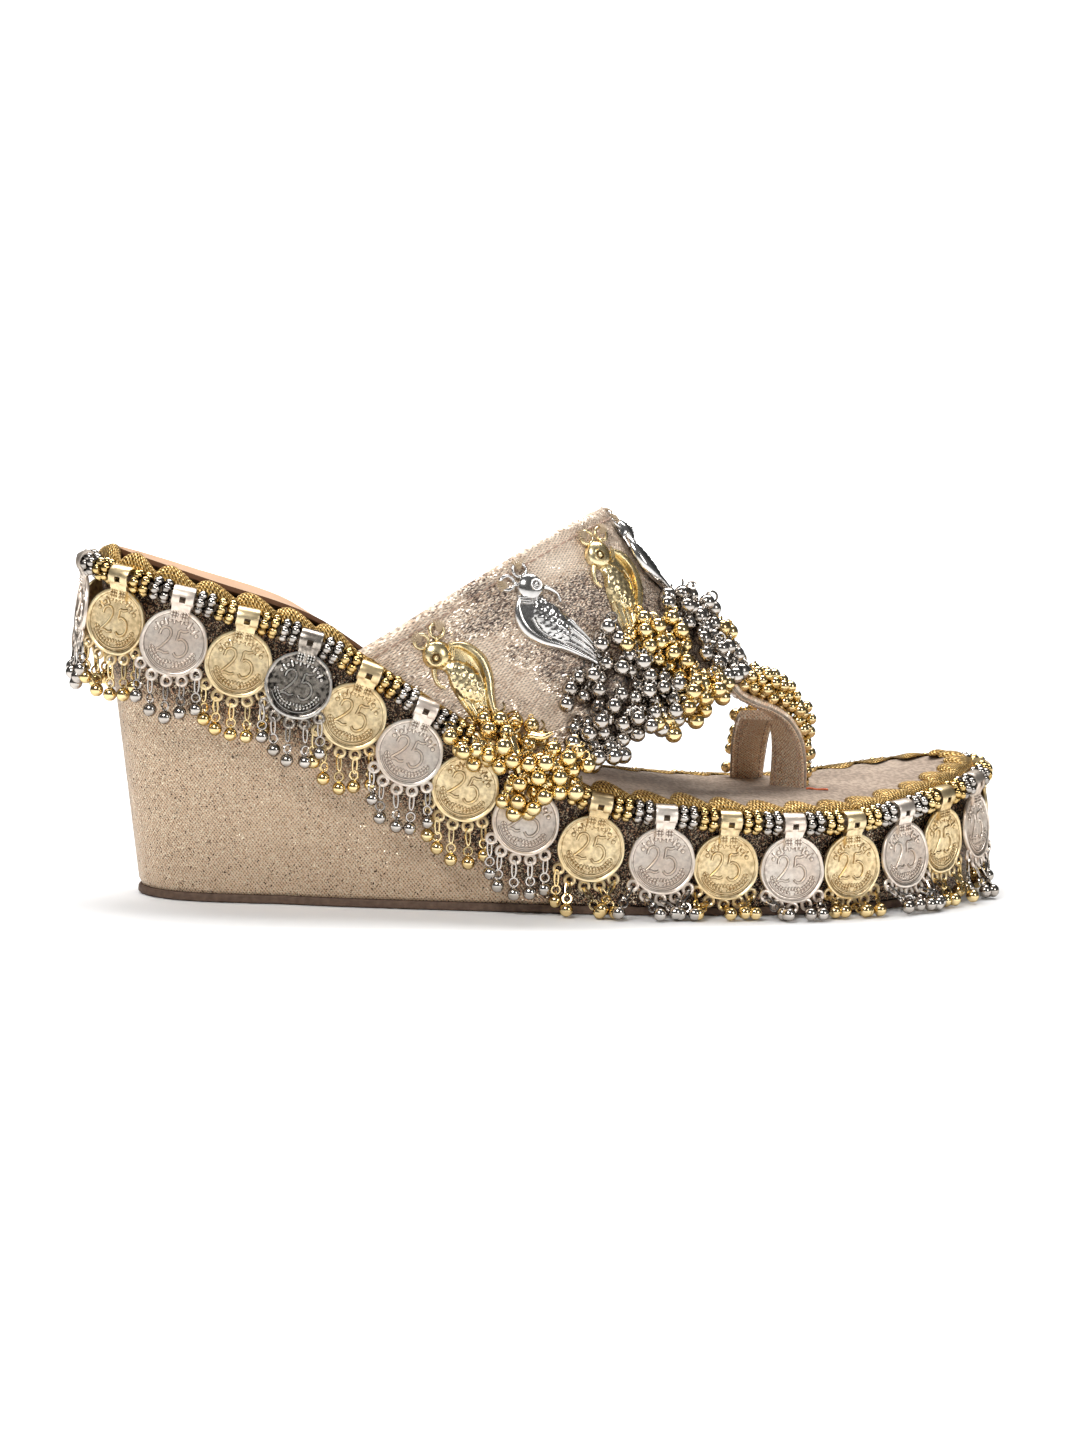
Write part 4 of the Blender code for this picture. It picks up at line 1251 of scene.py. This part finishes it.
def birdRelief(u, v, low, high):
    # height over the vamp and how raised the spot is, for the plate's top
    z, raised = bird["base"], 0.45
    headOut = math.hypot(u, v)
    if headOut < bird["head"]:
        z, raised = z + bird["headDome"] * math.sqrt(bird["head"] ** 2 - headOut ** 2), 0.9
    across, aside = u - bird["wingAt"][0], v - bird["wingAt"][1]
    a, b = across * 0.99 - aside * 0.12, across * 0.12 + aside * 0.99
    wing = (a / bird["wingHalf"][0]) ** 2 + (b / bird["wingHalf"][1]) ** 2
    if wing < 1:
        depth = 0.0
        long, wide = bird["scale"]
        for row in range(math.floor(a / long) - 1, math.floor(a / long) + 2):
            scallop = a / long - 0.4 * abs(math.cos(math.pi * (b / wide + 0.5 * (row % 2))))
            if row <= scallop:
                depth = scallop - row
        scale = 1 - min(1, depth)
        z = max(z, bird["base"] + bird["wingDome"] * math.sqrt(1 - wing) + bird["scaleHigh"] * scale)
        raised = 0.25 + 0.75 * scale
    elif u > bird["tailFrom"]:
        ridge = abs(math.cos(math.pi * 4 * (v - low) / max(high - low, 0.01)))
        z = bird["base"] + 0.25 + 0.5 * ridge
        raised = 0.2 + 0.8 * ridge
    edge = min(1, min(v - low, high - v) / bird["edge"])
    return z * (0.25 + 0.75 * math.sqrt(max(0, 1 - (1 - edge) ** 2))), raised


def makeBirdShape():
    shape = Shape()
    rows, columns = bird["rows"], bird["columns"]
    points, relief = [], []
    for u in np.linspace(birdEdge["x"][0], birdEdge["x"][-1], rows):
        low, high = (float(smoothRead(birdEdge, side, u)) for side in ("low", "high"))
        for v in low + (high - low) * np.linspace(0, 1, columns):
            z, raised = birdRelief(u, v, low, high)
            points.append((u, v, z))
            relief.append(raised)
    shape.add(points, gridFaces(rows, columns), relief)
    addWall(shape, points, np.array(points) * [1, 1, 0], rows, columns, 0.5)

    def tube(path, radii, height, steps):
        shape.add(*taperedTube([(x, y, height) for x, y in path], radii, steps, 8), relief=0.95)

    for row in birdTubes:
        tube(*row)
    for x, y in bird["crestRings"]:
        shape.place(ringShape(1.95, 0.46, 20, 8), (x, y, 0.75), relief=0.95)
        tube([(x * 0.72, y * 0.72), (x * 0.45, y * 0.45)], 0.55, 0.75, 5)
        shape.place(ballShape(0.75, 10, 7), (x * 0.66, y * 0.66, 0.9))
    for major, minor, relief in ((1.45, 0.3, 0.9), (1.0, 0.26, dirtLine)):  # eye: a rim and a groove
        shape.place(ringShape(major, minor, 18, 6), (*bird["eye"], 2.85), relief=relief)
    shape.place(ballShape(0.72, 12, 8), (*bird["eye"], 2.8), relief=1.0)
    for v in (-1.2, 0.8):  # tail rings that carry the bells
        shape.place(ringShape(1.2, 0.4, 14, 6), (28.2, v, 0.6))
    for points in shape.points:  # bent a little, to follow the vamp
        points[:, 2] -= points[:, 1] ** 2 / (2 * bird["follow"])
    return shape


def addTuft(shape, centre, spin):
    # a few turns of yarn through a crest ring, ending in a short tuft
    for k in range(5):
        a = spin + (k - 2) * 0.22
        c, s = math.cos(a), math.sin(a)
        rows = ((0.1, 0.3, 0), (0.7, 1.0, 0.1 * k), (1.5, 1.4, 0.12 * k), (2.3, 1.0, 0.1 * k),
                (2.9, 0.4, 0.2 * (k - 2)))  # out from the ring, up and aside
        path = [(centre[0] + c * r - s * w, centre[1] + s * r + c * w, h) for r, h, w in rows]
        shape.add(*tubeShape(path, 0.26))


def vampSpot(along, degrees):
    angle = math.radians(degrees)
    return vampPoint(along, angle)[0], vampNormal(along, angle)[0]


def birdFrame(headAlong, headDegrees, tailAlong, tailDegrees):
    head, _ = vampSpot(headAlong, headDegrees)
    tail, _ = vampSpot(tailAlong, tailDegrees)
    middle, normal = vampSpot((headAlong + tailAlong) / 2, (headDegrees + tailDegrees) / 2)
    forward = unit(tail - head - normal * np.dot(tail - head, normal))
    sag = max(0.0, float(np.dot(middle - (head + tail) / 2, normal)))
    return head + normal * (bird["lift"] + sag), (forward, np.cross(normal, forward), normal)


def mirrored(shape):
    # the other hand, with its faces turned to stay outward
    other = Shape()
    other.points = [points * [1, -1, 1] for points in shape.points]
    other.faces = [face[::-1] for face in shape.faces]
    other.relief, other.cloth, other.count = shape.relief, shape.cloth, shape.count
    return other


def makeBirds():
    plain = makeBirdShape()
    threads = Shape()
    for i, (*place, flipped) in enumerate(birdPlaces):
        origin, axes = birdFrame(*place)
        tufts = Shape()
        for k, centre in enumerate(bird["crestRings"]):
            addTuft(tufts, centre, math.pi + bird["tuftTurns"][k] + 0.3 * math.sin(i * 2.1 + k))
        shape = Shape()
        shape.merge(mirrored(plain) if flipped else plain, origin, axes)
        threads.merge(mirrored(tufts) if flipped else tufts, origin, axes)
        stands = ["bird_charm_%d" % (i + 1)]
        makePlated("birdCharm%d" % (i + 1), shape, "Bird", i % 2 == 0, stands=stands, sharp=50)
    makePiece("charmThreads", threads, finishes["creamThread"])


# bunches of ball bells under the birds

bunch = {"radius": 2.4, "around": 14, "rows": 9, "tries": 14, "fillOut": (2.8, 4.8), "fillLow": (0.4, 3.2),
         "fillApart": 3.8, "fillNear": 6.0, "lowest": 1.9, "touch": 0.93, "pushes": 10, "grow": (0.9, 1.04),
         "eye": (0.58, 0.22, 8, 5), "ring": (1.2, 2.0), "ringWire": 0.32, "ringIn": (-2.2, 1.0),
         "ringUp": (1.2, 3.2), "ringTilt": 0.9, "wire": 0.3, "wireLong": 2.6, "wireBend": 0.9,
         "lean": (-0.1, 0.5), "seed": 40}
horns = [  # three spots along the shoe, over the string and out from it, then three radii
    ([(-16.0, 6.5, 6.5), (-14.8, 3.0, 8.4), (-13.9, -1.5, 8.8)], (1.5, 1.3, 0.6)),
    ([(-10.5, 10.2, 6.5), (-7.6, 11.6, 8.0), (-5.2, 14.0, 8.2)], (1.3, 1.0, 0.35)),
]
bunchOrder = [  # which bells, whether on the medial side, and the side on which it lies over the rim
    ("low", False, -1), ("middle", False, 0), ("high", False, 0), ("crown", False, 0),
    ("high", True, 0), ("middle", True, 0), ("low", True, 1),
]
vampBells = {  # along the vamp, degrees round it, height over it
    "low": [
        (0.56, 4, 2.8), (0.60, 5, 3.9), (0.64, 7, 3.3), (0.68, 8, 4.1), (0.56, 0, 2.0), (0.64, 0, 4.9),
        (0.65, 2, 2.9), (0.71, 4, 2.8), (0.64, 4, 5.5), (0.72, 1, 4.2), (0.78, 0, 4.2), (0.61, 2, 5.0),
        (0.76, 4, 3.2), (0.82, 2, 3.0)],
    "middle": [
        (0.49, 40, 4.6), (0.55, 40, 4.3), (0.63, 33, 2.2), (0.64, 27, 4.7), (0.72, 25, 4.1),
        (0.64, 21, 3.1), (0.70, 22, 2.1), (0.69, 17, 5.0), (0.66, 39, 3.7), (0.68, 34, 4.5),
        (0.71, 39, 5.1), (0.78, 38, 4.5), (0.82, 24, 5.2), (0.85, 30, 3.4), (0.85, 33, 4.8),
        (0.91, 23, 3.6), (0.94, 25, 5.3), (0.97, 26, 5.1), (0.97, 19, 2.3), (0.92, 13, 2.5),
        (0.94, 9, 2.8), (1.00, 10, 5.4), (0.98, 15, 3.5), (1.03, 14, 4.2), (0.91, 17, 3.1),
        (0.88, 10, 3.8), (0.89, 26, 3.4), (0.89, 35, 3.2), (0.96, 31, 4.0), (0.97, 33, 4.0),
        (0.94, 37, 5.2), (0.96, 40, 4.4), (0.91, 40, 5.3), (0.89, 37, 5.0), (0.86, 18, 5.5),
        (0.88, 14, 4.3), (0.87, 21, 2.6), (0.97, 34, 5.0)],
    "high": [
        (0.59, 47, 5.4), (0.60, 52, 5.2), (0.60, 60, 4.0), (0.68, 58, 4.5), (0.74, 58, 2.7),
        (0.66, 45, 4.9), (0.67, 50, 4.0), (0.69, 54, 3.0), (0.57, 45, 2.2), (0.60, 40, 5.0),
        (0.93, 47, 5.5), (0.94, 60, 2.3), (0.98, 55, 4.8), (1.00, 60, 3.4), (1.02, 50, 2.5),
        (0.99, 45, 3.0), (1.02, 45, 4.7), (1.03, 52, 5.1), (1.01, 36, 2.2), (1.04, 39, 4.2),
        (1.06, 35, 2.2), (1.07, 39, 4.5), (1.03, 30, 3.2), (0.99, 40, 5.1), (0.76, 49, 5.4),
        (0.97, 49, 3.8), (0.81, 50, 5.5), (0.86, 46, 3.5), (0.88, 52, 3.0), (0.74, 45, 3.0)],
    "crown": [
        (0.54, 66, 3.1), (0.58, 68, 2.3), (0.56, 80, 5.5), (0.64, 86, 7.5), (0.68, 90, 7.8),
        (0.60, 74, 4.6), (0.66, 77, 4.1), (0.71, 98, 2.5), (0.63, 66, 2.4), (0.59, 69, 5.0),
        (0.86, 84, 5.0), (0.86, 67, 5.4), (0.92, 88, 5.1), (0.94, 83, 3.3), (0.96, 92, 4.4),
        (0.98, 79, 3.8), (0.90, 64, 4.3), (0.98, 67, 4.1), (0.85, 63, 4.0), (0.95, 64, 4.2),
        (1.03, 90, 4.8), (0.76, 68, 3.8), (0.56, 98, 3.4), (0.60, 106, 3.0), (0.66, 102, 4.6),
        (0.62, 92, 3.2), (0.88, 98, 3.6), (0.94, 104, 3.0), (0.98, 98, 4.6), (0.90, 76, 2.6),
        (0.82, 72, 3.0), (0.82, 94, 4.4), (0.78, 84, 3.0), (0.72, 80, 3.4), (0.72, 88, 6.0)],
    "behind": [(0.75, 98, 3.5), (0.79, 94, 7.2), (0.84, 97, 7.6), (0.88, 98, 6.6), (1.04, 104, 3.8)],
}
rimBells = [  # along the shoe, height over the string, distance out from it
    (-31.7, -3.5, 6.2), (-29.6, -4.7, 5.6), (-25.3, -3.1, 6.9), (-21.0, -1.7, 5.9), (-25.4, -5.9, 5.5),
    (-18.8, -1.8, 6.9), (-28.7, -4.7, 9.1), (-17.9, 2.7, 8.6), (-16.5, 0.5, 8.5), (-4.8, 8.4, 6.2),
    (-1.3, 8.1, 7.5), (1.0, 10.4, 6.4), (1.0, 5.7, 5.9), (1.1, 3.5, 5.7), (4.1, 9.2, 6.1),
    (-6.7, 4.0, 9.2), (-9.2, 0.5, 8.8), (-3.6, 2.8, 8.7), (-13.1, -3.8, 8.6), (-14.7, -5.9, 6.0),
    (-8.6, -3.3, 6.5), (-5.7, -0.8, 7.9), (-2.6, 0.5, 8.3), (-6.9, -3.2, 8.9), (-11.2, 1.3, 9.0),
    (-7.3, 5.1, 5.6), (-3.0, 6.2, 7.8), (-0.9, 1.0, 8.1), (-10.7, -1.6, 7.4), (-17.4, -11.5, 6.0),
    (-14.4, -12.9, 7.2), (-10.6, -10.8, 5.6), (-13.6, -9.5, 9.2), (-10.3, -8.8, 8.9)]


def rimSpot(x, rise, out, side):
    y = float(centreLine(x)) + side * (float(halfWidth(x)) + out)
    return np.array([x, y, float(stringHeight(x)) + rise])


def randomWay(rng):
    return np.array([rng.uniform(-1, 1) for _ in range(3)])


def ringAxes(tilt, beside):
    first = unit(np.cross(tilt, beside))
    return first, np.cross(tilt, first), tilt


def addBunch(shape, centres, normals, lifts, seed):
    # balls with their eyes, and the jump rings that gather them
    rng = random.Random(seed)
    radius = bunch["radius"]
    ball, ballFaces = ballShape(radius, bunch["around"], bunch["rows"])
    eye = ringShape(*bunch["eye"])
    spots, ways = list(centres), list(normals)
    for centre, normal, lift in zip(centres, normals, lifts):  # more balls between them, some lower
        for _ in range(bunch["tries"] if lift else 0):
            aside = randomWay(rng)
            aside = unit(aside - normal * np.dot(aside, normal)) * rng.uniform(*bunch["fillOut"])
            low = min(rng.uniform(*bunch["fillLow"]), max(0.0, lift - bunch["lowest"]))
            spot = centre + aside - normal * low
            between = sum(np.linalg.norm(spot - c) < bunch["fillNear"] for c in centres) > 2
            if between and all(np.linalg.norm(spot - c) > bunch["fillApart"] for c in spots):
                spots.append(spot)
                ways.append(normal)
    spots = np.array(spots)
    for _ in range(bunch["pushes"]):  # push apart balls that would cut each other
        gap = spots[:, None] - spots[None]
        far = np.linalg.norm(gap, axis=2) + np.eye(len(spots)) * 99
        push = np.clip(2 * radius * bunch["touch"] - far, 0, None) * 0.5
        spots = spots + (gap / far[:, :, None] * push[:, :, None]).sum(1)
    for centre, normal in zip(spots, ways):
        lean = normal * rng.uniform(*bunch["lean"]) + np.array([rng.uniform(-0.5, 0.5), 0, 0])
        upSlope = unit(upward * 0.9 + lean)
        spin = unit(np.cross(upSlope, normal + np.array([rng.uniform(-1, 1), 0.1, 0])))
        third = np.cross(upSlope, spin)
        grow = rng.uniform(*bunch["grow"])
        shape.place((ball * grow, ballFaces), centre, (spin, third, upSlope), 1.0)
        shape.place(eye, centre + upSlope * (radius * grow + 0.3), (upSlope, spin, third), 0.8)
    for centre, normal in zip(spots[::2], ways[::2]):  # jump rings between and under the balls
        at = centre + normal * rng.uniform(*bunch["ringIn"]) + upward * rng.uniform(*bunch["ringUp"])
        at[0] += rng.uniform(-2, 2)
        tilt = unit(normal + randomWay(rng) * bunch["ringTilt"])
        ring = ringShape(rng.uniform(*bunch["ring"]), bunch["ringWire"], 16)
        shape.place(ring, at, ringAxes(tilt, upward + 0.1), 0.6)
    for centre, normal in zip(spots[1::4], ways[1::4]):  # short wires
        way = unit([rng.uniform(-1, 0.4), 0, rng.uniform(0.3, 1)])
        bend = np.cross(way, normal) * bunch["wireBend"]
        path = [centre + upward * radius + way * t * bunch["wireLong"] + bend * math.sin(math.pi * t)
                - normal * t for t in np.linspace(0, 1, 7)]
        shape.add(*tubeShape(path, bunch["wire"], 5), relief=0.6)


def makeBunches():
    for i, (rows, medial, side) in enumerate(bunchOrder):
        bells = [(along, 180 - degrees if medial else degrees, lift)
                 for along, degrees, lift in vampBells[rows]]
        if i == 4:  # the balls behind the crown's bunch
            bells += vampBells["behind"]
        centres, normals, lifts = [], [], [lift for along, degrees, lift in bells]
        for along, degrees, lift in bells:
            point, normal = vampSpot(along, degrees)
            centres.append(point + normal * lift)
            normals.append(normal)
        shape = Shape()
        if side:
            centres += [rimSpot(*place, side) for place in rimBells]
            normals += [np.array([0.0, side, 0.2])] * len(rimBells)
            lifts += [None] * len(rimBells)
            for path, radii in horns:
                horn = taperedTube([rimSpot(*place, side) for place in path], radii, 16, 10)
                shape.add(*horn, relief=0.9)
        addBunch(shape, centres, normals, lifts, bunch["seed"] + i)
        makePlated("bellBunch%d" % (i + 1), shape, "Bell", i % 2 == 0, stands=["bell_bunch_%d" % (i + 1)])


toeBells = {"radius": 1.75, "around": 11, "rows": 8, "ring": (1.1, 0.2, 12, 5), "seed": 77, "steps": 60,
            "tries": 6000, "apart": 2.7, "span": (0.02, 0.97), "margin": 0.9, "grow": (0.88, 1.1),
            "ringRise": 1.2, "backTries": 400, "backApart": 3.3, "backSteps": (8, 44),
            "backSpan": (-1, 0.85), "backMargin": 0.4, "backRise": 1.4, "backGrow": (0.85, 1.05),
            "at": [0.0, 0.1, 0.25, 0.4, 0.55, 0.7, 0.85, 1.0],
            "height": [3.0, 6.5, 9.0, 9.6, 8.4, 6.4, 5.0, 3.4]}


def makeToeBells():
    rng = random.Random(toeBells["seed"])
    radius, steps = toeBells["radius"], toeBells["steps"]
    ball, ballFaces = ballShape(radius, toeBells["around"], toeBells["rows"])
    hoop = ringShape(*toeBells["ring"])

    def free(p, placed, apart):
        return all(np.linalg.norm(p - q) > apart for q in placed)

    centres, across, normal = legFrames(nearLeg, steps)
    placed, shape = [], Shape()
    for _ in range(toeBells["tries"]):
        t = rng.uniform(*toeBells["span"])
        height = rng.uniform(0.0, 1.0) ** 0.7 * np.interp(t, toeBells["at"], toeBells["height"])
        spread = rng.uniform(-1, 1) * (nearLeg["width"] / 2 - toeBells["margin"])
        spread *= max(0.25, 1 - 0.4 * (height / 8) ** 2)
        i = int(t * (steps - 1))
        rise = strapThick / 2 + radius * 0.9 + max(0.0, height - 2.5)
        p = centres[i] + normal[i] * rise + across[i] * spread
        if free(p, placed, toeBells["apart"]):
            placed.append(p)
            shape.add(ball * rng.uniform(*toeBells["grow"]) + p, ballFaces, relief=1.0)
            if len(placed) % 4 == 0:
                axes = ringAxes(unit(randomWay(rng)), [0.3, 0.5, 1])
                shape.place(hoop, p + normal[i] * toeBells["ringRise"], axes, 0.8)
    makePlated("toeBells", shape, "Bell", True, stands=["toe_bells"])
    centres, across, normal = legFrames(farLeg, steps)
    placed, shape = [], Shape()
    for _ in range(toeBells["backTries"]):  # one layer on the far strap, away from the foot
        i = rng.randint(*toeBells["backSteps"])
        spread = rng.uniform(*toeBells["backSpan"]) * (farLeg["width"] / 2 + toeBells["backMargin"])
        p = centres[i] + normal[i] * (strapThick / 2 + toeBells["backRise"]) + across[i] * spread
        if free(p, placed, toeBells["backApart"]):
            placed.append(p)
            shape.add(ball * rng.uniform(*toeBells["backGrow"]) + p, ballFaces, relief=1.0)
    makePlated("loopBells", shape, "Bell", True)


makeBirds()
makeBunches()
makeToeBells()
print("charms and bells ready")


# floor, light and camera

studio = {
    "yaw": 12.21, "elevation": 8.56, "distance": 1574.5, "roll": 1.93, "lens": 140.9,
    "aim": (2.0, 0.0, 48.3), "floorSize": 6.0, "roomLight": 0.11,
    "sweep": [(1.6, 0.0), (2.0, 0.06), (2.35, 0.3), (2.5, 0.7), (2.55, 3.5)],
    "panels": [  # name, place, aim, size, power
        ("keyPanel", (-0.75, -0.95, 1.15), (0, 0, 0.05), (0.7, 0.5), 14),
        ("fillPanel", (0.9, -1.2, 0.65), (0, 0, 0.05), (0.4, 0.6), 4.5),
        ("topPanel", (0.1, 0.35, 1.3), (0, 0, 0.03), (1.1, 0.5), 13),
        ("paperPanel", (0, 0.9, 2.0), (0, 2.2, 0.6), (3.0, 0.8), 75)],
}


def studioPaper():
    paper = Finish("studioPaper", roughness=0.9)
    pale = paper.ramp(paper.noise(3.0, 2), (0.4, (0.92, 0.92, 0.92)), (0.6, (0.94, 0.94, 0.94)))
    ray = paper.add("LightPath").outputs
    place = paper.position()
    split = paper.add("SeparateXYZ", {0: place}).outputs
    behind = paper.math("MULTIPLY", paper.steps(split[1], 0.15, 0.5), ray["Is Glossy Ray"])
    length = paper.add("VectorMath", {0: place}, operation="LENGTH").outputs["Value"]
    faraway = paper.math("MULTIPLY", paper.steps(length, 0.55, 1.5), ray["Is Camera Ray"])
    glow = paper.mix(faraway, (0.0, 0.0, 0.0), (0.9, 0.9, 0.9))  # evens out the far paper
    paper.tree.links.new(glow, paper.shader["Emission Color"])
    paper.shader["Emission Strength"].default_value = 1.0
    dark = paper.mix(behind, pale, (0.12, 0.12, 0.12))  # a dark room in the reflections
    return paper.done(dark, None)


def makeFloor():
    wide = studio["floorSize"]
    profile = [(-wide, 0.0), *studio["sweep"]]
    n = len(profile)
    points = [(x, y, z - 0.0002) for x in (-wide, wide) for y, z in profile]
    mesh = bpy.data.meshes.new("floorSweep")
    mesh.from_pydata(points, [], [(i, i + n, i + n + 1, i + 1) for i in range(n - 1)])
    mesh.shade_smooth()
    mesh.materials.append(studioPaper())
    floor = bpy.data.objects.new("floorSweep", mesh)
    bpy.context.scene.collection.objects.link(floor)


def makeLight():
    world = bpy.data.worlds.new("studioRoom")
    bpy.context.scene.world = world
    world.use_nodes = True
    room = Nodes(world.node_tree)
    seen = room.add("LightPath").outputs["Is Camera Ray"]
    tone = room.mix(seen, (studio["roomLight"],) * 3, (1, 1, 1))
    backdrop = room.tree.nodes["Background"].inputs
    room.tree.links.new(tone, backdrop[0])
    backdrop[1].default_value = 1.0
    for name, place, aim, size, power in studio["panels"]:
        lamp = bpy.data.lights.new(name, "AREA")
        lamp.shape = "RECTANGLE"
        lamp.size, lamp.size_y = size
        lamp.energy = power
        body = bpy.data.objects.new(name, lamp)
        body.location = place
        body.rotation_euler = (Vector(aim) - Vector(place)).to_track_quat("-Z", "Y").to_euler()
        bpy.context.scene.collection.objects.link(body)


def makeCamera():
    scene = bpy.context.scene
    scene.view_settings.view_transform = "Standard"
    lens = bpy.data.cameras.new("camera")
    lens.lens = studio["lens"]
    lens.sensor_width = 36.0
    lens.clip_start, lens.clip_end = 0.05, 20
    yaw, rise, roll = (math.radians(studio[name]) for name in ("yaw", "elevation", "roll"))
    back = np.array([math.sin(yaw) * math.cos(rise), math.cos(yaw) * math.cos(rise), -math.sin(rise)])
    place = -back * studio["distance"] * mm
    forward = unit(np.array(studio["aim"]) * mm - place)
    right = unit(np.cross(forward, upward))
    right = right * math.cos(roll) + np.cross(right, forward) * math.sin(roll)
    top = np.cross(right, forward)
    turned = Matrix(np.column_stack([right, top, -forward]).tolist()).to_4x4()
    camera = bpy.data.objects.new("camera", lens)
    camera.matrix_world = Matrix.Translation(place) @ turned
    scene.collection.objects.link(camera)
    scene.camera = camera


makeFloor()
makeLight()
makeCamera()
print("studio ready")
